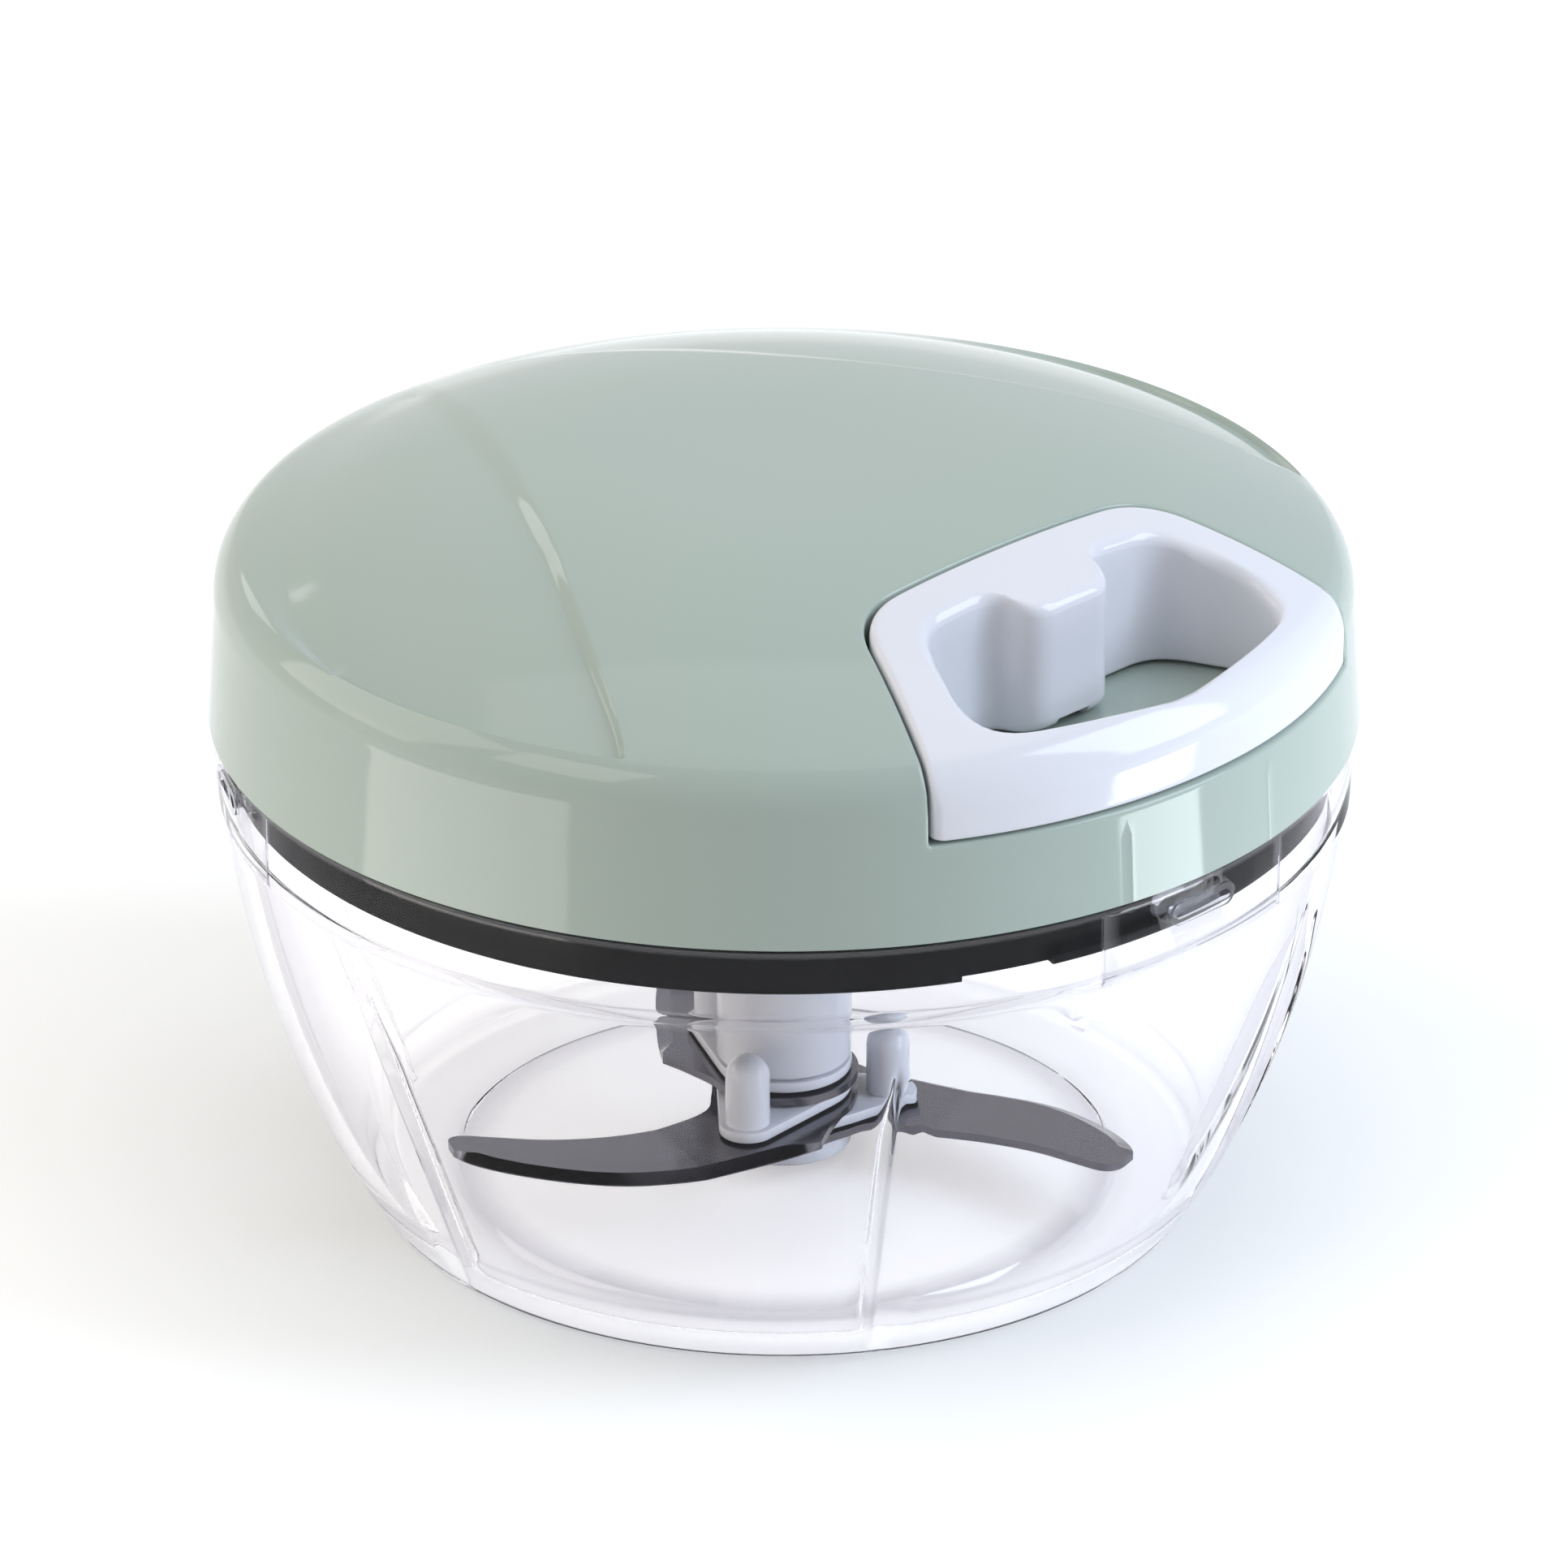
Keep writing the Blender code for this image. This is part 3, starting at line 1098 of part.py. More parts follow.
def make_reel(material):
    """Cord reel: hub, drum, two flanges and a boss that turns on the axle."""
    bottom_flange = GROOVE_BOTTOM - REEL_FLANGE_THICKNESS
    top_flange = GROOVE_TOP + REEL_FLANGE_THICKNESS
    drum_bottom = SPRING_COVER_BOTTOM + SPRING_COVER_THICKNESS + RUN_GAP
    profile = [
        (0.0, REEL_TOP), (REEL_TOP_RADIUS, REEL_TOP), (REEL_TOP_RADIUS, top_flange),
        (REEL_FLANGE_RADIUS, top_flange), (REEL_FLANGE_RADIUS, GROOVE_TOP),
        (REEL_DRUM_RADIUS, GROOVE_TOP), (REEL_DRUM_RADIUS, GROOVE_BOTTOM),
        (REEL_FLANGE_RADIUS, GROOVE_BOTTOM), (REEL_FLANGE_RADIUS, bottom_flange),
        (REEL_DRUM_RADIUS, bottom_flange), (REEL_DRUM_RADIUS, drum_bottom),
        (REEL_HUB_RADIUS, drum_bottom), (REEL_HUB_RADIUS, REEL_HUB_BOTTOM), (0.0, REEL_HUB_BOTTOM),
    ]
    reel = turned("cord_reel", profile, REEL_STEPS, closed=False, material=material)
    stub_top = REEL_HUB_BOTTOM + SPINDLE_STUB_LENGTH
    return cut(
        reel,
        rod(
            "reel_axle_bore", AXLE_RADIUS + SEAT_GAP, REEL_TOP - AXLE_DEPTH_IN_REEL - SEAT_GAP,
            REEL_TOP + CUT_OVERRUN, steps=TINY_STEPS,
        ),
        rod(
            "reel_spindle_socket", SPINDLE_STUB_RADIUS + SEAT_GAP / math.cos(math.radians(30.0)),
            REEL_HUB_BOTTOM - CUT_OVERRUN, stub_top + SEAT_GAP, steps=6,
        ),
    )


def make_spindle(material):
    """Drive spindle: a hexagon up into the reel, a round journal, a hexagon down for the blades."""
    journal_top = REEL_HUB_BOTTOM - SEAT_GAP
    journal_bottom = PLATE_BOTTOM - SEAT_GAP
    spindle = rod(
        "drive_spindle", SPINDLE_RADIUS, journal_bottom, journal_top, material=material,
    )
    stub_top = REEL_HUB_BOTTOM + SPINDLE_STUB_LENGTH
    return join(
        spindle,
        rod("spindle_stub", SPINDLE_STUB_RADIUS, journal_bottom + SEAT_GAP, stub_top, steps=6),
        rod(
            "spindle_dog", DOG_RADIUS, journal_bottom - DOG_LENGTH, journal_top - SEAT_GAP, steps=6,
        ),
    )


def make_axle(material):
    """Steel axle of the reel, held in the boss of the lid cover."""
    return rod(
        "reel_axle", AXLE_RADIUS, REEL_TOP - AXLE_DEPTH_IN_REEL, axle_top(),
        steps=TINY_STEPS, material=material,
    )


def make_washer(material):
    """Washer between the reel and the lid cover's boss."""
    inner = AXLE_RADIUS + SEAT_GAP
    outer = REEL_TOP_RADIUS - SEAT_GAP
    top = WASHER_BOTTOM + WASHER_THICKNESS
    profile = [(inner, top), (outer, top), (outer, WASHER_BOTTOM), (inner, WASHER_BOTTOM)]
    return turned("axle_washer", profile, SMALL_STEPS, material=material)


def make_shaft(material):
    """Blade shaft: the column, its core through the stack of blades, and the drive socket."""
    profile = [
        (0.0, SHAFT_TOP_HEIGHT), (SHAFT_TOP_RADIUS, SHAFT_TOP_HEIGHT),
        (SHAFT_RADIUS, SHAFT_SHOULDER), (CORE_RADIUS, SHAFT_SHOULDER), (CORE_RADIUS, CORE_BOTTOM),
        (0.0, CORE_BOTTOM),
    ]
    shaft = turned("blade_shaft", profile, REEL_STEPS, closed=False, material=material)
    boss_top = BOWL_FLOOR + PIVOT_BOSS_HEIGHT
    dog_bottom = PLATE_BOTTOM - SEAT_GAP - DOG_LENGTH
    return cut(
        shaft,
        rod(
            "shaft_boss_recess", PIVOT_BOSS_RADIUS + RUN_GAP, CORE_BOTTOM - CUT_OVERRUN,
            boss_top + SEAT_GAP, steps=SMALL_STEPS,
        ),
        rod(
            "shaft_pin_bore", PIVOT_PIN_RADIUS + SEAT_GAP, CORE_BOTTOM, PIN_TOP + SEAT_GAP,
            steps=TINY_STEPS,
        ),
        rod(
            "shaft_socket", DOG_RADIUS + SEAT_GAP / math.cos(math.radians(30.0)),
            dog_bottom - SEAT_GAP, SHAFT_TOP_HEIGHT + CUT_OVERRUN, steps=6,
        ),
    )


def ring_profile(inner, outer, bottom, top):
    """Section of a plain ring."""
    return [(inner, top), (outer, top), (outer, bottom), (inner, bottom)]


def make_hub_foot(material):
    """Ring pressed on the foot of the core, under the lowest blade."""
    profile = ring_profile(
        CORE_RADIUS + SEAT_GAP, SHAFT_RADIUS, HUB_FOOT_BOTTOM, HUB_FOOT_BOTTOM + HUB_FOOT_HEIGHT,
    )
    return turned("hub_foot", profile, REEL_STEPS, material=material)


def core_bore(name, bottom, top):
    """Cutter for the hole that takes the core of the shaft."""
    return rod(name, CORE_RADIUS + SEAT_GAP, bottom - CUT_OVERRUN, top + CUT_OVERRUN)


def make_blade(number, bottom, tip_deg, material):
    """Curved blade with a ground leading edge, folded up towards its tip."""
    leading = [Vector(point) * BLADE_REACH for point in BLADE_LEADING_SHARES]
    trailing = [Vector(point) * BLADE_REACH for point in BLADE_TRAILING_SHARES]
    outline = leading + trailing
    bm = bmesh.new()
    lower = [bm.verts.new((point.x, point.y, bottom)) for point in outline]
    middle = [bm.verts.new((point.x, point.y, bottom + BLADE_EDGE_LAND)) for point in outline]
    upper = []
    for index, point in enumerate(outline):
        before = outline[index - 1]
        after = outline[(index + 1) % len(outline)]
        along = (after - before).normalized()
        inward = Vector((-along.y, along.x))
        if index < len(leading) - 1:
            point = point + inward * BLADE_GRIND
        upper.append(bm.verts.new((point.x, point.y, bottom + BLADE_THICKNESS)))
    bm.faces.new(lower)
    bm.faces.new(upper)
    for low, high in ((lower, middle), (middle, upper)):
        for index in range(len(outline)):
            after = (index + 1) % len(outline)
            bm.faces.new((low[index], low[after], high[after], high[index]))
    fold = BLADE_REACH * BLADE_FOLD_SHARE
    bmesh.ops.bisect_plane(
        bm, geom=bm.verts[:] + bm.edges[:] + bm.faces[:], dist=WELD_DISTANCE,
        plane_co=(fold, 0.0, 0.0), plane_no=(1.0, 0.0, 0.0),
    )
    for vert in bm.verts:
        beyond = max(vert.co.x - fold, 0.0) / (BLADE_REACH - fold)
        vert.co.z += BLADE_TIP_RISE * beyond
    bmesh.ops.transform(bm, verts=bm.verts, matrix=front_turn(tip_deg - 90.0))
    blade = add_object(f"blade_{number}", bm, material)
    return cut(blade, core_bore(f"blade_bore_{number}", bottom, bottom + BLADE_THICKNESS))


def petal_outline():
    """Plan of a blade seat: a disc round the core drawn out to a petal under the post."""
    span = math.acos((SHAFT_RADIUS - PETAL_RADIUS) / POST_CIRCLE_RADIUS)
    steps = TINY_STEPS
    points = []
    for index in range(steps + 1):
        angle = span + (2 * math.pi - 2 * span) * index / steps
        points.append((SHAFT_RADIUS * math.cos(angle), SHAFT_RADIUS * math.sin(angle)))
    for index in range(steps // 2 + 1):
        angle = -span + 2 * span * index / (steps // 2)
        points.append((
            POST_CIRCLE_RADIUS + PETAL_RADIUS * math.cos(angle), PETAL_RADIUS * math.sin(angle),
        ))
    return points


def make_blade_seat(number, bottom, post_deg, material):
    """Spacer that holds a blade down, with a petal and a round-topped post."""
    bm = prism_bmesh(petal_outline(), bottom, bottom + SEAT_THICKNESS)
    turn = front_turn(post_deg - 90.0)
    bmesh.ops.transform(bm, verts=bm.verts, matrix=turn)
    seat = add_object(f"blade_seat_{number}", bm, material)
    top = bottom + SEAT_THICKNESS + POST_HEIGHT
    profile = [
        (0.0, top), (POST_RADIUS * 0.4, top - POST_RADIUS * 0.08),
        (POST_RADIUS * 0.75, top - POST_RADIUS * 0.33), (POST_RADIUS * 0.94, top - POST_RADIUS * 0.65),
        (POST_RADIUS, top - POST_RADIUS), (POST_RADIUS, bottom + SEAT_GAP), (0.0, bottom + SEAT_GAP),
    ]
    post = turned_bmesh(profile, TINY_STEPS, closed=False)
    place = turn @ Vector((POST_CIRCLE_RADIUS, 0.0, 0.0))
    bmesh.ops.translate(post, verts=post.verts, vec=place)
    join(seat, add_object(f"seat_post_{number}", post))
    return cut(seat, core_bore(f"seat_bore_{number}", bottom, bottom + SEAT_THICKNESS))


def make_blade_unit(white, steel):
    """Shaft, foot, blades and the spacers between them, from the lowest blade up."""
    pieces = [make_shaft(white), make_hub_foot(white)]
    for index, (tip_deg, post_deg) in enumerate(zip(BLADE_TIP_DEG, POST_DEG)):
        bottom = BLADE_FIRST_HEIGHT + index * BLADE_PITCH
        seat_bottom = bottom + BLADE_THICKNESS + SEAT_GAP
        pieces.append(make_blade(index + 1, bottom, tip_deg, steel))
        pieces.append(make_blade_seat(index + 1, seat_bottom, post_deg, white))
    return pieces


def main():
    """Build every piece and hang it on the empty of its joint."""
    start_scene()
    clear = plastic("clear_plastic", (0.95, 0.96, 0.97), 0.03, transmission=0.9)
    green = plastic("sage_plastic", (0.47, 0.55, 0.5), 0.12)
    white = plastic("white_plastic", (0.8, 0.8, 0.86), 0.15)
    black = plastic("black_plastic", (0.012, 0.012, 0.014), 0.1)
    rubber = plastic("seal_rubber", (0.03, 0.03, 0.032), 0.45)
    steel = plastic("steel", (0.6, 0.6, 0.62), 0.2, metallic=1.0)
    nylon = plastic("cord_nylon", (0.75, 0.75, 0.74), 0.6)
    bowl = make_bowl(clear)
    pin = make_pivot_pin(steel)
    lid = [
        make_cover(green), make_base(black), make_seal(rubber), make_spring_cover(white),
        make_spring(steel), make_guide(steel), make_axle(steel), make_washer(steel),
        make_lead(nylon),
    ]
    lid += [make_screw(index, place, steel) for index, place in enumerate(screw_places())]
    handle = [make_handle(white), make_knot(nylon), make_pull_cord(nylon)]
    reel = [make_reel(white), make_winding(nylon), make_spindle(white)]
    carry(joint_empty("bowl_origin", Vector((0.0, 0.0, 0.0))), bowl, pin)
    carry(joint_empty("lid_axis", Vector((0.0, 0.0, SKIRT_BOTTOM_HEIGHT))), *lid)
    carry(joint_empty("handle_slide", Vector((0.0, -HANDLE_BACK, CORD_HEIGHT))), *handle)
    carry(joint_empty("reel_axis", Vector((0.0, 0.0, CORD_HEIGHT))), *reel)
    carry(joint_empty("blade_axis", Vector((0.0, 0.0, BOWL_FLOOR))), *make_blade_unit(white, steel))


main()
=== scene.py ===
"""Looks of the pull-cord food chopper: its finer shells, handle, blades and finishes.

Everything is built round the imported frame. Lengths are in metres. The bowl's axis is Z and the
handle docks towards -Y. Angles round the axis are counted from the front, anticlockwise from above.
"""
from __future__ import annotations

import json
import logging
import math
from collections.abc import Callable, Iterable, Sequence
from dataclasses import dataclass, field
from enum import Enum

import bmesh
import bpy
from mathutils import Matrix, Vector
from mathutils.geometry import delaunay_2d_cdt
from mathutils.kdtree import KDTree

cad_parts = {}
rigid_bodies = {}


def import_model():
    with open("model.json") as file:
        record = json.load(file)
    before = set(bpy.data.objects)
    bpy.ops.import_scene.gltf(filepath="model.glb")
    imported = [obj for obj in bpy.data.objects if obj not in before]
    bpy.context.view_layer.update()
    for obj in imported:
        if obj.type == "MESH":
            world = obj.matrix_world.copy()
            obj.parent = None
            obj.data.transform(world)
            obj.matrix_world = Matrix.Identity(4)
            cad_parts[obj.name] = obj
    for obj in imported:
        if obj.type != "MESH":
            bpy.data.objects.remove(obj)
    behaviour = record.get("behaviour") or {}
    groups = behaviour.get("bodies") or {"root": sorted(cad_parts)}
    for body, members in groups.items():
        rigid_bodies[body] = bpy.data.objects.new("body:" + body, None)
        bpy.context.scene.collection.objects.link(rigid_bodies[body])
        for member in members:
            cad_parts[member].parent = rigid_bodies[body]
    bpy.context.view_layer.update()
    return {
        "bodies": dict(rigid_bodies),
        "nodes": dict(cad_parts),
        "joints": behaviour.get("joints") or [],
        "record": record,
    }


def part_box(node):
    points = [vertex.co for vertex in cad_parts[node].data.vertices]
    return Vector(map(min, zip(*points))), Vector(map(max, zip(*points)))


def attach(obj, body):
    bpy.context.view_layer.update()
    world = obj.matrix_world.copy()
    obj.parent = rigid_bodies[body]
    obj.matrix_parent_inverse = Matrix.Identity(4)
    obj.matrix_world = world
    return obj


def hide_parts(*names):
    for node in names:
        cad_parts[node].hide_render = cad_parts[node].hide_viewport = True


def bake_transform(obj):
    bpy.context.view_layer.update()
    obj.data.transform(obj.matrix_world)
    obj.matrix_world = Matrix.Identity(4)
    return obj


LOG = logging.getLogger("food_chopper")
WELD = 2e-6
SMOOTH_DEG = 32.0
ROD_STEPS = 32
OVERRUN = 0.002
BOX_AIM = 0.05
FIT = 0.0003
CORD_HEIGHT = 0.0704

Colour = tuple[float, float, float]
PlanPoint = tuple[float, float]
Floats = tuple[float, ...]
Piece = bpy.types.Object
Mesh = bmesh.types.BMesh


def round_axis(radius: float, angle_deg: float, height: float = 0.0) -> Vector:
    """Place a point by its radius and its angle from the front.

    Args:
        radius: Distance from the axis.
        angle_deg: Angle from the front, anticlockwise from above.
        height: Height of the point.

    Returns:
        The point.
    """
    angle = math.radians(angle_deg)
    return Vector((radius * math.sin(angle), -radius * math.cos(angle), height))


def smooth_share(value: float) -> float:
    """Ease a share from 0 to 1, with level ends."""
    share = min(max(value, 0.0), 1.0)
    return share * share * (3.0 - 2.0 * share)


def fillet(start: Vector, corner: Vector, end: Vector, steps: int) -> list[Vector]:
    """Round a corner with a quadratic curve.

    Args:
        start: Point where the rounding starts.
        corner: The sharp corner.
        end: Point where the rounding ends.
        steps: Count of straight pieces.

    Returns:
        Points from start to end.
    """
    points = []
    for index in range(steps + 1):
        share = index / steps
        points.append(
            start * (1.0 - share) ** 2 + corner * (2.0 * share * (1.0 - share)) + end * share**2
        )
    return points


def rounded(path: Sequence[PlanPoint], radii: Sequence[float], steps: int = 4) -> list[PlanPoint]:
    """Round the inner corners of an open path in the plane of radius and height.

    Args:
        path: Points of the path.
        radii: Length of the rounding at each point, 0 for a sharp one.
        steps: Count of straight pieces in a rounding.

    Returns:
        The rounded path.
    """
    points: list[PlanPoint] = []
    for index, (place, radius) in enumerate(zip(path, radii)):
        here = Vector(place)
        if radius <= 0.0 or index in (0, len(path) - 1):
            points.append(place)
            continue
        before = (Vector(path[index - 1]) - here).normalized() * radius
        after = (Vector(path[index + 1]) - here).normalized() * radius
        points += [tuple(point) for point in fillet(here + before, here, here + after, steps)]
    return points


def plan_point(radius: float, angle: float) -> Vector:
    """Place a plan point by its radius and its angle from the front in radians."""
    return Vector((radius * math.sin(angle), -radius * math.cos(angle)))


def angle_of(place: Vector) -> float:
    """Angle of a point from the front in radians."""
    return math.atan2(place.x, -place.y)


def mirrored(points: Sequence[Vector]) -> list[Vector]:
    """Mirror plan points left to right and put the last one first."""
    return [Vector((-point.x, point.y)) for point in reversed(points)]


def spaced(start: float, end: float, count: int) -> list[float]:
    """Split a length into equal steps, without its start."""
    return [start + (end - start) * step / count for step in range(1, count + 1)]


def quarter(count: int) -> list[float]:
    """Split a quarter turn into equal steps, in radians."""
    return [math.pi / 2 * step / count for step in range(count + 1)]


def run_out(start: Vector, run: Vector, radius: float) -> float:
    """Distance from a plan point along a unit run to a circle round the axis."""
    ahead = start.dot(run)
    return -ahead + math.sqrt(ahead**2 - start.dot(start) + radius**2)


class Value:
    """Output socket of a node, on which arithmetic adds Math nodes."""

    def __init__(self, graph: Graph, socket: bpy.types.NodeSocket) -> None:
        """Keep the graph and the socket."""
        self.graph = graph
        self.socket = socket

    def _math(self, operation: str, first: Operand, second: Operand) -> Value:
        """Add one Math node."""
        return self.graph.node("ShaderNodeMath", {"operation": operation}, {0: first, 1: second})

    def __add__(self, other: Operand) -> Value:
        """Add."""
        return self._math("ADD", self, other)

    def __sub__(self, other: Operand) -> Value:
        """Subtract."""
        return self._math("SUBTRACT", self, other)

    def __rsub__(self, other: Operand) -> Value:
        """Subtract from a number."""
        return self._math("SUBTRACT", other, self)

    def __mul__(self, other: Operand) -> Value:
        """Multiply."""
        return self._math("MULTIPLY", self, other)

    def __truediv__(self, other: Operand) -> Value:
        """Divide."""
        return self._math("DIVIDE", self, other)

    def __pow__(self, other: Operand) -> Value:
        """Raise to a power."""
        return self._math("POWER", self, other)

    def sine(self) -> Value:
        """Sine."""
        return self._math("SINE", self, 0.0)

    def at_most(self, other: Operand) -> Value:
        """Take the smaller value."""
        return self._math("MINIMUM", self, other)

    def at_least(self, other: Operand) -> Value:
        """Take the larger value."""
        return self._math("MAXIMUM", self, other)


Operand = Value | float | Sequence[float] | bpy.types.ID | None


class Graph:
    """Node tree of one finish or one rule of shape."""

    def __init__(self, tree: bpy.types.NodeTree) -> None:
        """Keep the tree."""
        self.tree = tree

    def node(
        self,
        kind: str,
        settings: dict[str, object] | None = None,
        inputs: dict[int | str, Operand] | None = None,
        output: int | str = 0,
    ) -> Value:
        """Add a node.

        Args:
            kind: Type of the node.
            settings: Properties that are set before the sockets.
            inputs: Values or links of the sockets, by index or name.
            output: Socket to hand on.

        Returns:
            The chosen output.
        """
        made = self.tree.nodes.new(kind)
        for name, setting in (settings or {}).items():
            setattr(made, name, setting)
        for key, value in (inputs or {}).items():
            self.feed(made.inputs[key], value)
        return Value(self, made.outputs[output])

    def feed(self, socket: bpy.types.NodeSocket, value: Operand) -> None:
        """Link an output to a socket or set the socket's own value."""
        if isinstance(value, Value):
            self.tree.links.new(value.socket, socket)
        else:
            socket.default_value = value


class Finish:
    """A material made of nodes, built once."""

    def __init__(self, name: str) -> None:
        """Start a material of that name with its Principled shader."""
        self.material = bpy.data.materials.new(name)
        self.material.use_nodes = True
        self.graph = Graph(self.material.node_tree)
        self.shader = self.material.node_tree.nodes["Principled BSDF"]

    def set(self, **sockets: Operand) -> Finish:
        """Set sockets of the shader, with underscores for blanks in their names."""
        for name, value in sockets.items():
            socket = self.shader.inputs[name.replace("_", " ").title().replace("Ior", "IOR")]
            if isinstance(value, tuple) and len(value) == 3 and socket.type == "RGBA":
                value = (*value, 1.0)
            self.graph.feed(socket, value)
        return self

    def place(self, scale: Sequence[float] = (1.0, 1.0, 1.0)) -> Value:
        """Object coordinates, scaled."""
        coordinates = self.graph.node("ShaderNodeTexCoord", output="Object")
        return self.graph.node("ShaderNodeMapping", None, {"Vector": coordinates, "Scale": scale})

    def noise(self, size: float, detail: float = 2.0, stretch: Floats = (1, 1, 1)) -> Value:
        """Noise of about 0.5 on average.

        Args:
            size: Size of its features.
            detail: Count of octaves.
            stretch: Scale of the coordinates on each axis.

        Returns:
            The noise.
        """
        return self.graph.node(
            "ShaderNodeTexNoise", None,
            {"Vector": self.place(stretch), "Scale": 1.0 / size, "Detail": detail},
        )

    def mix(self, share: Operand, first: Colour, second: Colour) -> Value:
        """Mix two colours."""
        return self.graph.node(
            "ShaderNodeMix", {"data_type": "RGBA"},
            {"Factor": share, 6: (*first, 1.0), 7: (*second, 1.0)}, 2,
        )

    def bump(self, height: Value, depth: float, strength: float = 1.0) -> Value:
        """Turn a height of 0 to 1 into a normal."""
        return self.graph.node(
            "ShaderNodeBump", None, {"Height": height, "Distance": depth, "Strength": strength},
        )

    def cover(self, kind: str, inputs: dict[int, Operand], body: int) -> None:
        """Mix or add another shader to the material's own.

        Args:
            kind: Type of the node that joins them.
            inputs: Its other inputs.
            body: Input that takes the material's own shader.
        """
        inputs[body] = Value(self.graph, self.shader.outputs[0])
        both = self.graph.node(kind, None, inputs)
        self.graph.feed(self.graph.tree.nodes["Material Output"].inputs["Surface"], both)


def scaled(colour: Colour, factor: float) -> Colour:
    """Make a colour lighter or darker."""
    return tuple(min(channel * factor, 1.0) for channel in colour)


@dataclass(frozen=True)
class GlossPlastic:
    """Opaque moulded plastic with a faint cloud in its colour and the skin of a polished mould."""

    name: str
    colour: Colour
    roughness: float = 0.16
    shine: float = 0.5
    cloud_size: float = 0.05
    skin_size: float = 0.004
    skin_depth: float = 6e-6
    speck_size: float = 0.0006

    def build(self) -> bpy.types.Material:
        """Make the material."""
        finish = Finish(self.name)
        cloud = finish.noise(self.cloud_size)
        specks = finish.noise(self.speck_size, 4.0)
        skin = finish.noise(self.skin_size)
        tone = finish.mix(cloud, scaled(self.colour, 0.985), scaled(self.colour, 1.015))
        finish.set(
            base_color=tone, roughness=(cloud + specks) * 0.04 + (self.roughness - 0.04),
            ior=1.46, specular_ior_level=self.shine, normal=finish.bump(skin, self.skin_depth),
        )
        return finish.material


@dataclass(frozen=True)
class ClearPlastic:
    """Clear moulded plastic with faint flow ripples, which lets the lamps' light through."""

    name: str
    colour: Colour = (0.98, 0.974, 0.98)
    # edge: colour of painted shade, laid on towards grazing angles and along the marked folds and
    # steps.
    edge: Colour = (0.46, 0.45, 0.5)
    shade: Colour = (0.68, 0.68, 0.69)
    roughness: float = 0.012
    ior: float = 1.05
    coat: float = 0.05
    coat_ior: float = 1.9
    fold_shade_and_coat_share: float = 0.85
    ripple_size: float = 0.016
    ripple_depth: float = 2.5e-5

    def build(self) -> bpy.types.Material:
        """Make the material."""
        finish = Finish(self.name)
        graph = finish.graph
        ripples = finish.noise(self.ripple_size, 1.0, (1.0, 1.0, 0.6))
        film = finish.noise(self.ripple_size * 3.0)
        # Facing darkens the colour towards grazing angles: partly the longer path through the wall,
        # partly painted shade that stands in for the dark refraction at the outlines.
        facing = graph.node("ShaderNodeLayerWeight", None, {"Blend": 0.5}, "Facing")
        # The fold mark paints grey shade along folds and steps, standing in for the dark refraction
        # lines there, and raises the coat there too.
        line = graph.node("ShaderNodeAttribute", {"attribute_name": "fold_shade_mark"}, output="Fac")
        # deep: share of painted shade from grazing angles and the fold mark, with a faint random
        # film tone.
        deep = (film * 0.05 + facing**3).at_least(line * self.fold_shade_and_coat_share)
        finish.set(
            base_color=finish.mix(deep, self.colour, self.edge),
            roughness=self.roughness, ior=self.ior, transmission_weight=1.0,
            coat_weight=line * self.fold_shade_and_coat_share + self.coat, coat_roughness=self.roughness,
            coat_ior=self.coat_ior, normal=finish.bump(ripples, self.ripple_depth),
        )
        shadow = graph.node("ShaderNodeLightPath", output="Is Shadow Ray")
        clear = graph.node("ShaderNodeBsdfTransparent", None, {"Color": (*self.shade, 1.0)})
        finish.cover("ShaderNodeMixShader", {0: shadow, 2: clear}, 1)
        return finish.material


@dataclass(frozen=True)
class GroundSteel:
    """Stainless steel with fine lines from grinding."""

    name: str
    colour: Colour = (0.145, 0.14, 0.158)
    roughness: float = 0.2
    line_size: float = 0.00035
    line_length: float = 60.0
    line_depth: float = 4e-7

    def build(self) -> bpy.types.Material:
        """Make the material."""
        finish = Finish(self.name)
        lines = finish.noise(self.line_size, 2.0, (1.0 / self.line_length, 1.0, 1.0))
        cloud = finish.noise(0.012)
        finish.set(
            base_color=finish.mix(cloud, scaled(self.colour, 0.93), scaled(self.colour, 1.07)),
            metallic=1.0, roughness=lines * 0.05 + cloud * 0.05 + (self.roughness - 0.05),
            normal=finish.bump(lines, self.line_depth),
        )
        return finish.material


@dataclass(frozen=True)
class SoftRubber:
    """Matt rubber of the seal."""

    name: str
    colour: Colour = (0.022, 0.022, 0.024)

    def build(self) -> bpy.types.Material:
        """Make the material."""
        finish = Finish(self.name)
        grain = finish.noise(0.0004, 4.0)
        finish.set(
            base_color=finish.mix(grain, scaled(self.colour, 0.8), scaled(self.colour, 1.2)),
            roughness=grain * 0.2 + 0.45, normal=finish.bump(grain, 1e-5),
        )
        return finish.material


@dataclass(frozen=True)
class BraidedNylon:
    """Braided cord: two sets of strands that cross, laid along the cord's own UV map."""

    name: str
    colour: Colour = (0.74, 0.74, 0.72)
    strands: float = 6.0

    def build(self) -> bpy.types.Material:
        """Make the material."""
        finish = Finish(self.name)
        graph = finish.graph
        uv = graph.node("ShaderNodeUVMap", {"uv_map": "braid"})
        split = graph.node("ShaderNodeSeparateXYZ", None, {0: uv})
        along = split
        across = Value(graph, split.socket.node.outputs[1])
        turn = 2.0 * math.pi * self.strands
        left = ((along + across) * turn).sine()
        right = ((along - across) * turn).sine()
        weave = left.at_least(right) * 0.5 + 0.5
        finish.set(
            # The colour is painted darker in the grooves between strands, where the bump sinks:
            # painted shade.
            base_color=finish.mix(weave, scaled(self.colour, 0.6), self.colour),
            roughness=0.62, normal=finish.bump(weave, 1.2e-4),
        )
        return finish.material


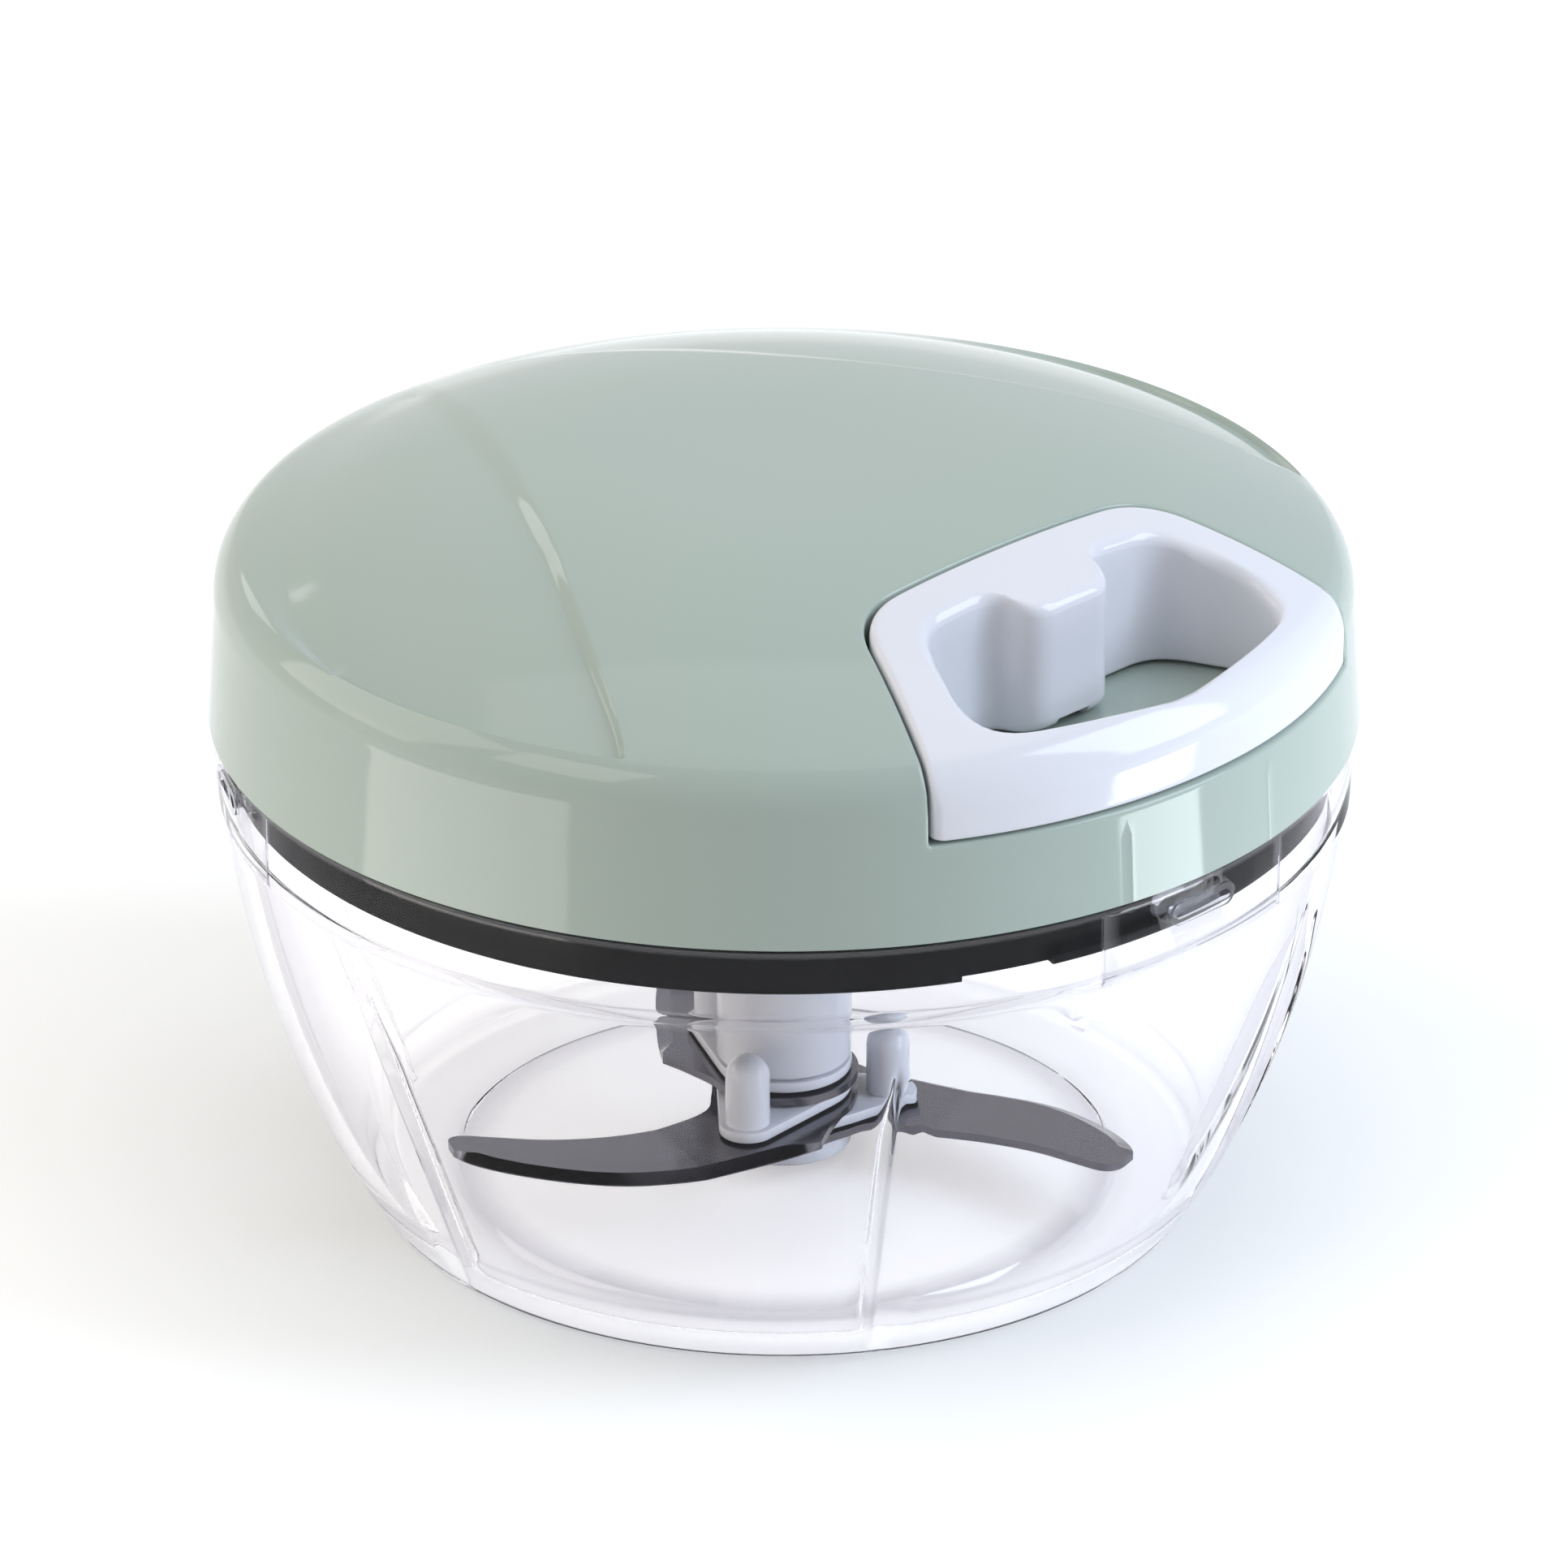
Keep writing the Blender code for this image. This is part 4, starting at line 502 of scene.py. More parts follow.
class Material(Enum):
    """Finishes of the chopper, each with its slot in the record."""

    SAGE = "sage_plastic"
    WHITE = "white_plastic"
    BLACK = "black_plastic"
    CLEAR = "clear_plastic"
    STEEL = "steel"
    RUBBER = "seal_rubber"
    NYLON = "cord_nylon"


class FinishShelf:
    """Every finish, built once and handed out by name."""

    def __init__(self) -> None:
        """Build the finishes."""
        recipes = {
            Material.SAGE: GlossPlastic("sage_moulding", (0.405, 0.475, 0.425), 0.08, 0.4),
            Material.WHITE: GlossPlastic("white_moulding", (0.77, 0.77, 0.825), 0.1, 0.4),
            Material.BLACK: GlossPlastic("black_moulding", (0.004, 0.004, 0.005), 0.1, 0.06),
            Material.CLEAR: ClearPlastic("clear_moulding"),
            Material.STEEL: GroundSteel("ground_steel"),
            Material.RUBBER: SoftRubber("seal_rubber"),
            Material.NYLON: BraidedNylon("braided_nylon"),
        }
        self.materials = {kind: recipe.build() for kind, recipe in recipes.items()}


def new_object(name: str, bm: Mesh, recalculate: bool = True) -> Piece:
    """Give a bmesh an object at the origin.

    Args:
        name: Name of the object.
        bm: Its mesh, which is freed.
        recalculate: Whether to weld it and turn its faces outwards first.

    Returns:
        The object.
    """
    if recalculate:
        bmesh.ops.remove_doubles(bm, verts=bm.verts, dist=WELD)
        bmesh.ops.recalc_face_normals(bm, faces=bm.faces)
    mesh = bpy.data.meshes.new(name)
    bm.to_mesh(mesh)
    bm.free()
    obj = bpy.data.objects.new(name, mesh)
    bpy.context.scene.collection.objects.link(obj)
    return obj


def baked(obj: Piece) -> Piece:
    """Turn an object's modifiers into its plain mesh."""
    bpy.context.view_layer.update()
    graph = bpy.context.evaluated_depsgraph_get()
    mesh = bpy.data.meshes.new_from_object(obj.evaluated_get(graph))
    obj.modifiers.clear()
    old = obj.data
    obj.data = mesh
    mesh.name = obj.name
    bpy.data.meshes.remove(old)
    return obj


def boolean(obj: Piece, other: Piece, operation: str = "DIFFERENCE") -> Piece:
    """Cut or join an object with another, which is used up.

    Args:
        obj: The object that is kept.
        other: The object that is used up.
        operation: UNION or DIFFERENCE.

    Returns:
        The kept object.
    """
    modifier = obj.modifiers.new("boolean", "BOOLEAN")
    modifier.operation = operation
    modifier.solver = "EXACT"
    modifier.object = other
    baked(obj)
    bpy.data.objects.remove(other)
    return obj


def bridge(
    bm: Mesh, here: Sequence[bmesh.types.BMVert],
    there: Sequence[bmesh.types.BMVert], closed: bool = True,
) -> list[bmesh.types.BMFace]:
    """Lay faces between two rows of points.

    Args:
        bm: The mesh.
        here: One row.
        there: The other row, of the same count.
        closed: Whether each row's end joins its start.

    Returns:
        The faces, in order.
    """
    faces = []
    for index in range(len(here) if closed else len(here) - 1):
        after = (index + 1) % len(here)
        faces.append(bm.faces.new((here[index], here[after], there[after], there[index])))
    return faces


def gather(bm: Mesh, part: Mesh) -> None:
    """Add a bmesh to another and free it."""
    mesh = bpy.data.meshes.new("part")
    part.to_mesh(mesh)
    part.free()
    bm.from_mesh(mesh)
    bpy.data.meshes.remove(mesh)


def turned(profile: Sequence[PlanPoint], steps: int, closed: bool) -> Mesh:
    """Turn a profile of radius and height about Z.

    Args:
        profile: Points of the profile.
        steps: Count of columns round the turn.
        closed: Whether the profile's end joins its start.

    Returns:
        The mesh, welded at its poles.
    """
    bm = bmesh.new()
    columns = [
        [bm.verts.new(round_axis(radius, 360.0 * step / steps, z)) for radius, z in profile]
        for step in range(steps)
    ]
    for here, there in zip(columns, columns[1:] + columns[:1]):
        bridge(bm, here, there, closed)
    bmesh.ops.remove_doubles(bm, verts=bm.verts, dist=WELD)
    return bm


def mark_edges(obj: Piece, name: str, least_deg: float, most_deg: float) -> None:
    """Mark the points on folds and steps, for a finish that shows them.

    Args:
        obj: The piece.
        name: Name of the mark, which is 0 to 1.
        least_deg: Turn of the surface at which the mark starts.
        most_deg: Turn at which it is full.
    """
    bm = bmesh.new()
    bm.from_mesh(obj.data)
    # The clear finish paints shade along these marks and gives them more coat.
    mark = bm.verts.layers.float.new(name)
    for edge in bm.edges:
        if len(edge.link_faces) != 2:
            continue
        turn = abs(math.degrees(edge.calc_face_angle()))
        share = min(max((turn - least_deg) / (most_deg - least_deg), 0.0), 1.0)
        for vert in edge.verts:
            vert[mark] = max(vert[mark], share)
    bm.to_mesh(obj.data)
    bm.free()


def prism(outline: Sequence[PlanPoint], bottom: float, top: float) -> Mesh:
    """Make an upright prism over an outline in plan."""
    bm = bmesh.new()
    face = bm.faces.new([bm.verts.new((x, y, bottom)) for x, y in outline])
    raised = bmesh.ops.extrude_face_region(bm, geom=[face])["geom"]
    verts = [item for item in raised if isinstance(item, bmesh.types.BMVert)]
    bmesh.ops.translate(bm, verts=verts, vec=(0.0, 0.0, top - bottom))
    return bm


def rod(
    radius: float, bottom: float, top: float, place: Sequence[float] = (0.0, 0.0), steps: int = 48
) -> Mesh:
    """Make an upright cylinder or prism."""
    outline = [round_axis(radius, 360.0 * step / steps).to_2d() for step in range(steps)]
    return prism([(x + place[0], y + place[1]) for x, y in outline], bottom, top)


def lying_rod(name: str, radius: float, start: float, end: float) -> Piece:
    """Make a cylinder along the cord's line.

    Args:
        name: Name of the object.
        radius: Its radius.
        start: Lower Y of its ends.
        end: Upper Y of its ends.

    Returns:
        The object.
    """
    bm = rod(radius, start, end, steps=ROD_STEPS)
    bmesh.ops.rotate(bm, verts=bm.verts, matrix=Matrix.Rotation(math.radians(-90.0), 3, "X"))
    bmesh.ops.translate(bm, verts=bm.verts, vec=(0.0, 0.0, CORD_HEIGHT))
    return new_object(name, bm)


def sector(
    inner: float, outer: float, low: float, high: float, start: float, end: float
) -> Mesh:
    """Make an upright prism over a piece of a ring.

    Args:
        inner: Inner radius.
        outer: Outer radius.
        low: Height of the bottom.
        high: Height of the top.
        start: Angle of its first side in degrees.
        end: Angle of its last side in degrees.

    Returns:
        The prism.
    """
    angles = [start, *spaced(start, end, max(2, round(end - start)))]
    outline = [tuple(round_axis(outer, angle).to_2d()) for angle in angles]
    outline += [tuple(round_axis(inner, angle).to_2d()) for angle in reversed(angles)]
    return prism(outline, low, high)


@dataclass
class RingArray:
    """Geometry Nodes rule that repeats one piece round the axis and welds the copies."""

    count: int
    weld: float = WELD

    def tree(self) -> bpy.types.NodeTree:
        """Build the node tree.

        Returns:
            The tree, with inputs for the count and the weld distance.
        """
        tree = bpy.data.node_groups.new("ring_array", "GeometryNodeTree")
        for name, way, kind in (
            ("Geometry", "INPUT", "Geometry"), ("Count", "INPUT", "Int"),
            ("Weld distance", "INPUT", "Float"), ("Geometry", "OUTPUT", "Geometry"),
        ):
            tree.interface.new_socket(name, in_out=way, socket_type=f"NodeSocket{kind}")
        graph = Graph(tree)
        given = tree.nodes.new("NodeGroupInput")
        piece, count, weld = (Value(graph, given.outputs[index]) for index in range(3))
        points = graph.node("GeometryNodePoints", None, {"Count": count})
        index = graph.node("GeometryNodeInputIndex")
        turn = index * (2.0 * math.pi) / count
        rotation = graph.node("ShaderNodeCombineXYZ", None, {2: turn})
        copies = graph.node(
            "GeometryNodeInstanceOnPoints", None,
            {"Points": points, "Instance": piece, "Rotation": rotation},
        )
        whole = graph.node("GeometryNodeRealizeInstances", None, {0: copies})
        welded = graph.node("GeometryNodeMergeByDistance", None, {0: whole, "Distance": weld})
        result = tree.nodes.new("NodeGroupOutput")
        graph.feed(result.inputs[0], welded)
        return tree

    def apply(self, obj: Piece) -> Piece:
        """Repeat an object's mesh and keep the result as its plain mesh."""
        tree = self.tree()
        modifier = obj.modifiers.new("ring", "NODES")
        modifier.node_group = tree
        values = {"Count": self.count, "Weld distance": self.weld}
        for item in tree.interface.items_tree:
            if item.in_out == "INPUT" and item.name in values:
                modifier[item.identifier] = values[item.name]
        return baked(obj)


@dataclass
class Dresser:
    """Gives finished pieces their material, shading, body and slot."""

    frame: dict
    shelf: FinishShelf

    def dress(
        self, obj: Piece, kind: Material, node: str, body: str | None,
        sharp_deg: float = SMOOTH_DEG,
    ) -> None:
        """Finish a piece and hand it to the frame.

        Args:
            obj: The piece.
            kind: Its finish.
            node: CAD node that it stands for.
            body: Body that it rides on, or None to leave it unattached.
            sharp_deg: Angle above which an edge stays sharp.
        """
        obj.data.materials.clear()
        obj.data.materials.append(self.shelf.materials[kind])
        obj.data.shade_smooth()
        obj.data.set_sharp_from_angle(angle=math.radians(sharp_deg))
        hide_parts(node)
        if body is not None:
            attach(obj, body)
        LOG.info("%s: %d faces, %s", obj.name, len(obj.data.polygons), kind.value)

    def keep(self, kind: Material, nodes: Iterable[str]) -> None:
        """Give carried-over CAD nodes a finish."""
        for name in nodes:
            node = self.frame["nodes"][name]
            for slot in node.material_slots:
                slot.material = self.shelf.materials[kind]
            LOG.info("%s: kept, %s", name, kind.value)


@dataclass(frozen=True)
class Lug:
    """Bayonet lugs of the bowl, which the slots of the lid match."""

    count: int = 3
    half: float = 0.0047
    height: float = 0.0025
    middle: float = 0.05205


@dataclass
class LidForm:
    """Outer form of the lid: a crown with two side facets, a shoulder and a skirt."""

    skirt_radius: float = 0.0610
    skirt_bottom: float = 0.0557
    skirt_top_radius: float = 0.0601
    skirt_top: float = 0.0691
    crown_radius: float = 0.0576
    crown_edge: float = 0.0742
    crown_rise: float = 0.0098
    crown_power: float = 3.1
    crease_degrees: Floats = (
        61, 62.8, 65, 68.5, 73.8, 81.6, 93, 110, 131.8, 147.4, 160, 169, 180,
    )
    crease_shares: Floats = (
        1.0, 0.942, 0.89, 0.822, 0.738, 0.647, 0.563, 0.508, 0.509, 0.565, 0.664, 0.785, 0.97,
    )
    crease_widths: Floats = (
        0.0005, 0.0006, 0.0007, 0.0009, 0.0012, 0.0015, 0.0019, 0.0022, 0.003, 0.0035, 0.0037,
        0.003, 0.0018,
    )
    facet_step: float = 0.0009
    facet_back_share: float = 0.5
    facet_room: float = 0.009
    facet_square_deg: float = 150.0
    lip: float = 0.0007
    back_lip: float = 0.0070
    lip_start_deg: float = 95.0
    lip_end_deg: float = 140.0
    shoulder_lean: float = 0.39
    shoulder_steps: int = 16
    lip_shares: Floats = (0.0, 0.15, 0.35, 0.65, 0.85, 1.0)
    line_steps: int = 1190
    ease_in_deg: float = 5.0

    def __post_init__(self) -> None:
        """Lay out the line of the right-hand crease."""
        start = self.crease_degrees[0]
        angles = [start, *spaced(start, 180.0, self.line_steps)]
        self.line = [round_axis(self.crease(angle), angle) for angle in angles]
        self.line_tree = KDTree(len(self.line))
        for index, point in enumerate(self.line):
            self.line_tree.insert(point, index)
        self.line_tree.balance()

    def height(self, radius: float) -> float:
        """Height of the surface at a radius, without the facets."""
        if radius <= self.crown_radius:
            return self.crown_edge + self.crown_rise * (
                1.0 - (radius / self.crown_radius) ** self.crown_power
            )
        if radius <= self.skirt_top_radius:
            share = (radius - self.crown_radius) / (self.skirt_top_radius - self.crown_radius)
            roll = 1.0 - math.sqrt(max(1.0 - share, 0.0))
            fall = 2.0 * self.shoulder_lean * roll * (1.0 - roll) + roll**2
            return self.crown_edge - (self.crown_edge - self.skirt_top) * fall
        share = (radius - self.skirt_top_radius) / (self.skirt_radius - self.skirt_top_radius)
        return self.skirt_top - (self.skirt_top - self.skirt_bottom) * min(share, 1.0)

    def crease(self, angle_deg: float) -> float:
        """Radius of the facets' crease at an angle between its ends, as a smooth curve."""
        degrees, shares = self.crease_degrees, self.crease_shares
        index = max(i for i, mark in enumerate(degrees[:-1]) if mark <= angle_deg)
        ends = [(max(i - 1, 0), min(i + 1, len(shares) - 1)) for i in (index, index + 1)]
        slopes = [(shares[b] - shares[a]) / (degrees[b] - degrees[a]) for a, b in ends]
        span = degrees[index + 1] - degrees[index]
        share = (angle_deg - degrees[index]) / span
        return self.crown_radius * (
            shares[index] * (1 + 2 * share) * (1 - share) ** 2
            + shares[index + 1] * share**2 * (3 - 2 * share)
            + span * (slopes[0] * share * (1 - share) ** 2 + slopes[1] * share**2 * (share - 1))
        )

    def band(self, angle_deg: float) -> float:
        """Width of the slope along the crease at an angle."""
        marks = list(zip(self.crease_degrees, self.crease_widths))
        spans = zip(marks, marks[1:])
        (first, near), (second, far) = next(span for span in spans if angle_deg <= span[1][0])
        return near + (far - near) * max(angle_deg - first, 0.0) / (second - first)

    def lip_width(self, angle_deg: float) -> float:
        """Width of the slope that takes a facet back up to the crown's edge."""
        share = (angle_deg - self.lip_start_deg) / (self.lip_end_deg - self.lip_start_deg)
        return self.lip + (self.back_lip - self.lip) * smooth_share(share)

    def facet_drop(self, radius: float, angle_deg: float) -> float:
        """How far the facets lower the crown at a point."""
        angle = abs((angle_deg + 180.0) % 360.0 - 180.0)
        start = self.crease_degrees[0]
        if angle < start - self.ease_in_deg or radius >= self.crown_radius:
            return 0.0
        place = round_axis(radius, angle)
        _, index, _ = self.line_tree.find(place)
        before, after = max(index - 1, 0), min(index + 1, len(self.line) - 1)
        along = (self.line[after] - self.line[before]).normalized()
        across = (place - self.line[index]).dot(Vector((-along.y, along.x, 0.0)))
        drop = self.facet_step * smooth_share(0.5 - across / self.band(angle))
        share = (angle - start) / (180.0 - start)
        drop *= 1.0 - (1.0 - self.facet_back_share) * max(share, 0.0)
        if angle > self.facet_square_deg:
            drop *= min((self.crown_radius - self.crease(angle)) / self.facet_room, 1.0)
        return drop * smooth_share((self.crown_radius - radius) / self.lip_width(angle))

    def path(self) -> list[PlanPoint]:
        """Profile of the shoulder and the skirt, from the crown's edge down."""
        spread = self.skirt_top_radius - self.crown_radius
        rolls = [step / self.shoulder_steps for step in range(self.shoulder_steps)]
        radii = [self.crown_radius + spread * roll * (2.0 - roll) for roll in rolls]
        return [(radius, self.height(radius)) for radius in radii] + [
            (self.skirt_top_radius, self.skirt_top), (self.skirt_radius, self.skirt_bottom),
        ]


@dataclass
class UnrolledLid:
    """The lid's outer surface laid flat: radius in plan on the crown, then length down the side."""

    form: LidForm
    stations: list[tuple[float, PlanPoint]] = field(default_factory=list)

    def __post_init__(self) -> None:
        """Measure the way down the shoulder and the skirt."""
        way = self.form.crown_radius
        path = self.form.path()
        self.stations.append((way, path[0]))
        for first, second in zip(path, path[1:]):
            way += (Vector(second) - Vector(first)).length
            self.stations.append((way, second))

    @property
    def reach(self) -> float:
        """Distance from the middle to the skirt's bottom edge, laid flat."""
        return self.stations[-1][0]

    def profile(self, way: float) -> tuple[float, float, Vector]:
        """Find the profile at a distance from the middle, laid flat.

        Args:
            way: The distance.

        Returns:
            Radius, height and the outward normal in the plane of radius and height.
        """
        form = self.form
        if way <= form.crown_radius:
            step = 1e-5
            rise = form.height(way + step / 2) - form.height(max(way - step / 2, 0.0))
            slope = rise / step if way > step else 0.0
            return way, form.height(way), Vector((-slope, 1.0)).normalized()
        for (first, here), (second, there) in zip(self.stations, self.stations[1:]):
            if way <= second + 1e-9:
                share = (way - first) / (second - first)
                place = Vector(here).lerp(Vector(there), share)
                run = (Vector(there) - Vector(here)).normalized()
                return place.x, place.y, Vector((-run.y, run.x))
        radius, height = self.stations[-1][1]
        return radius, height, Vector((1.0, 0.0))

    def way_at_radius(self, radius: float) -> float:
        """Distance from the middle, laid flat, of a radius on the crown or the shoulder."""
        if radius <= self.form.crown_radius:
            return radius
        for (first, here), (second, there) in zip(self.stations, self.stations[1:]):
            if radius <= there[0]:
                return first + (second - first) * (radius - here[0]) / (there[0] - here[0])
        return self.reach

    def way_at_height(self, height: float) -> float:
        """Distance from the middle, laid flat, of a height on the skirt."""
        first, here = self.stations[-2]
        second, there = self.stations[-1]
        return first + (second - first) * (here[1] - height) / (here[1] - there[1])

    def lift(self, flat: Vector, sunk: float = 0.0) -> Vector:
        """Carry a flat point onto the lid.

        Args:
            flat: Point of the flat layout.
            sunk: Distance below the surface.

        Returns:
            The point in space.
        """
        radius, height, normal = self.profile(flat.length)
        angle_deg = math.degrees(angle_of(flat))
        height -= self.form.facet_drop(radius, angle_deg)
        return round_axis(radius - normal.x * sunk, angle_deg, height - normal.y * sunk)


@dataclass
class HandlePlan:
    """Plan of the handle: straight back, sides that open out and a front on a circle."""

    back: float = 0.0576 * 0.54
    half_back: float = 0.0576 * 0.363
    side_deg: float = 25.5
    front_radius: float = 0.0602
    bottom: float = 0.0664
    bar: float = 0.0058
    front_bar: float = 0.0039
    back_corner: float = 0.0060
    front_corner: float = 0.0012
    opening_back_corner: float = 0.0034
    opening_front_corner: float = 0.0085
    back_steps: int = 56
    boss_depth: float = 0.0052
    boss_half: float = 0.0057
    boss_flank: float = 0.0013
    boss_corner: float = 0.0027
    boss_foot: float = 0.0026
    proud: float = 0.0003
    corner_steps: int = 12
    side_steps: int = 14
    front_corner_steps: int = 10
    front_steps: int = 20

    def side(self, inset: float) -> tuple[Vector, Vector]:
        """Back corner and outward run of the right-hand side, moved in by an inset."""
        slope = math.radians(self.side_deg)
        half = self.half_back - inset / math.cos(slope) + inset * math.tan(slope)
        return Vector((half, -(self.back + inset))), Vector((math.sin(slope), -math.cos(slope)))

    def loop(
        self, inset: float, front_radius: float, back_corner: float, front_corner: float
    ) -> list[Vector]:
        """Closed outline, with the same count of points for any inset.

        Args:
            inset: Distance inside the handle's outer edge.
            front_radius: Radius of the front.
            back_corner: Length of the rounding at the back corners.
            front_corner: Length of the rounding at the front corners.

        Returns:
            Points in plan, from the middle of the back towards the right.
        """
        start, run = self.side(inset)
        front = start + run * run_out(start, run, front_radius)
        end_angle = angle_of(front) - front_corner / front_radius
        first = start + run * back_corner
        last = front - run * front_corner
        straight = [Vector((0.0, start.y)), Vector((start.x - back_corner, start.y))]
        half = even(straight, self.back_steps)[:-1]
        half += fillet(start - Vector((back_corner, 0.0)), start, first, self.corner_steps)
        half += [first.lerp(last, step / self.side_steps) for step in range(1, self.side_steps)]
        half += fillet(last, front, plan_point(front_radius, end_angle), self.front_corner_steps)
        half += [
            plan_point(front_radius, end_angle * (1.0 - step / self.front_steps))
            for step in range(1, self.front_steps)
        ]
        return [straight[0], *half, plan_point(front_radius, 0.0), *mirrored(half)]

    def bulge(self, point: Vector) -> float:
        """Share of the boss's depth that stands out at a point of the opening."""
        out = (-point.y - self.back - self.bar) / self.boss_depth
        return min(max(out, 0.0), 1.0) if abs(point.x) < self.half_back / 2 and out < 1.1 else 0.0

    def opening(self) -> list[Vector]:
        """Outline of the finger opening, with the boss of the cord standing into it."""
        loop = self.loop(
            self.bar, self.front_radius - self.front_bar, self.opening_back_corner,
            self.opening_front_corner,
        )
        back = -(self.back + self.bar)
        front = back - self.boss_depth
        end = loop[self.back_steps]
        path = [
            (0.0, front), (self.boss_half, front), (self.boss_half + self.boss_flank, back),
            (end.x, end.y),
        ]
        radii = [0.0, self.boss_corner, self.boss_foot, 0.0]
        bent = [Vector(place) for place in rounded(path, radii, 10)]
        half = even(bent, self.back_steps)[:-1]
        steps = len(half)
        loop[0] = bent[0]
        loop[1:steps + 1] = half
        loop[-steps:] = mirrored(half)
        return loop


def even(path: Sequence[Vector], count: int) -> list[Vector]:
    """Take points at equal steps along an open path, without its start.

    Args:
        path: Points of the path.
        count: Count of steps.

    Returns:
        The points.
    """
    ways = [0.0]
    for first, second in zip(path, path[1:]):
        ways.append(ways[-1] + (second - first).length)
    points = []
    for step in range(1, count + 1):
        way = ways[-1] * step / count
        index = max(i for i in range(len(path) - 1) if ways[i] < way)
        share = (way - ways[index]) / (ways[index + 1] - ways[index])
        points.append(path[index].lerp(path[index + 1], share))
    return points


def inside(point: Vector, outline: Sequence[Vector]) -> bool:
    """Tell whether a plan point lies inside a closed outline."""
    hit = False
    for first, second in zip(outline, [*outline[1:], outline[0]]):
        if (first.y > point.y) != (second.y > point.y):
            cross = first.x + (point.y - first.y) * (second.x - first.x) / (second.y - first.y)
            hit = hit != (point.x < cross)
    return hit


def distance(point: Vector, outline: Sequence[Vector]) -> float:
    """Least distance from a plan point to a closed outline."""
    least = math.inf
    for first, second in zip(outline, [*outline[1:], outline[0]]):
        edge = second - first
        share = min(max((point - first).dot(edge) / max(edge.length_squared, 1e-18), 0.0), 1.0)
        least = min(least, (point - first - edge * share).length)
    return least


def grown(outline: Sequence[Vector], by: float) -> list[Vector]:
    """Move a closed anticlockwise outline outwards."""
    moved = []
    for index, point in enumerate(outline):
        along = outline[(index + 1) % len(outline)] - outline[index - 1]
        moved.append(point + Vector((along.y, -along.x)).normalized() * by)
    return moved


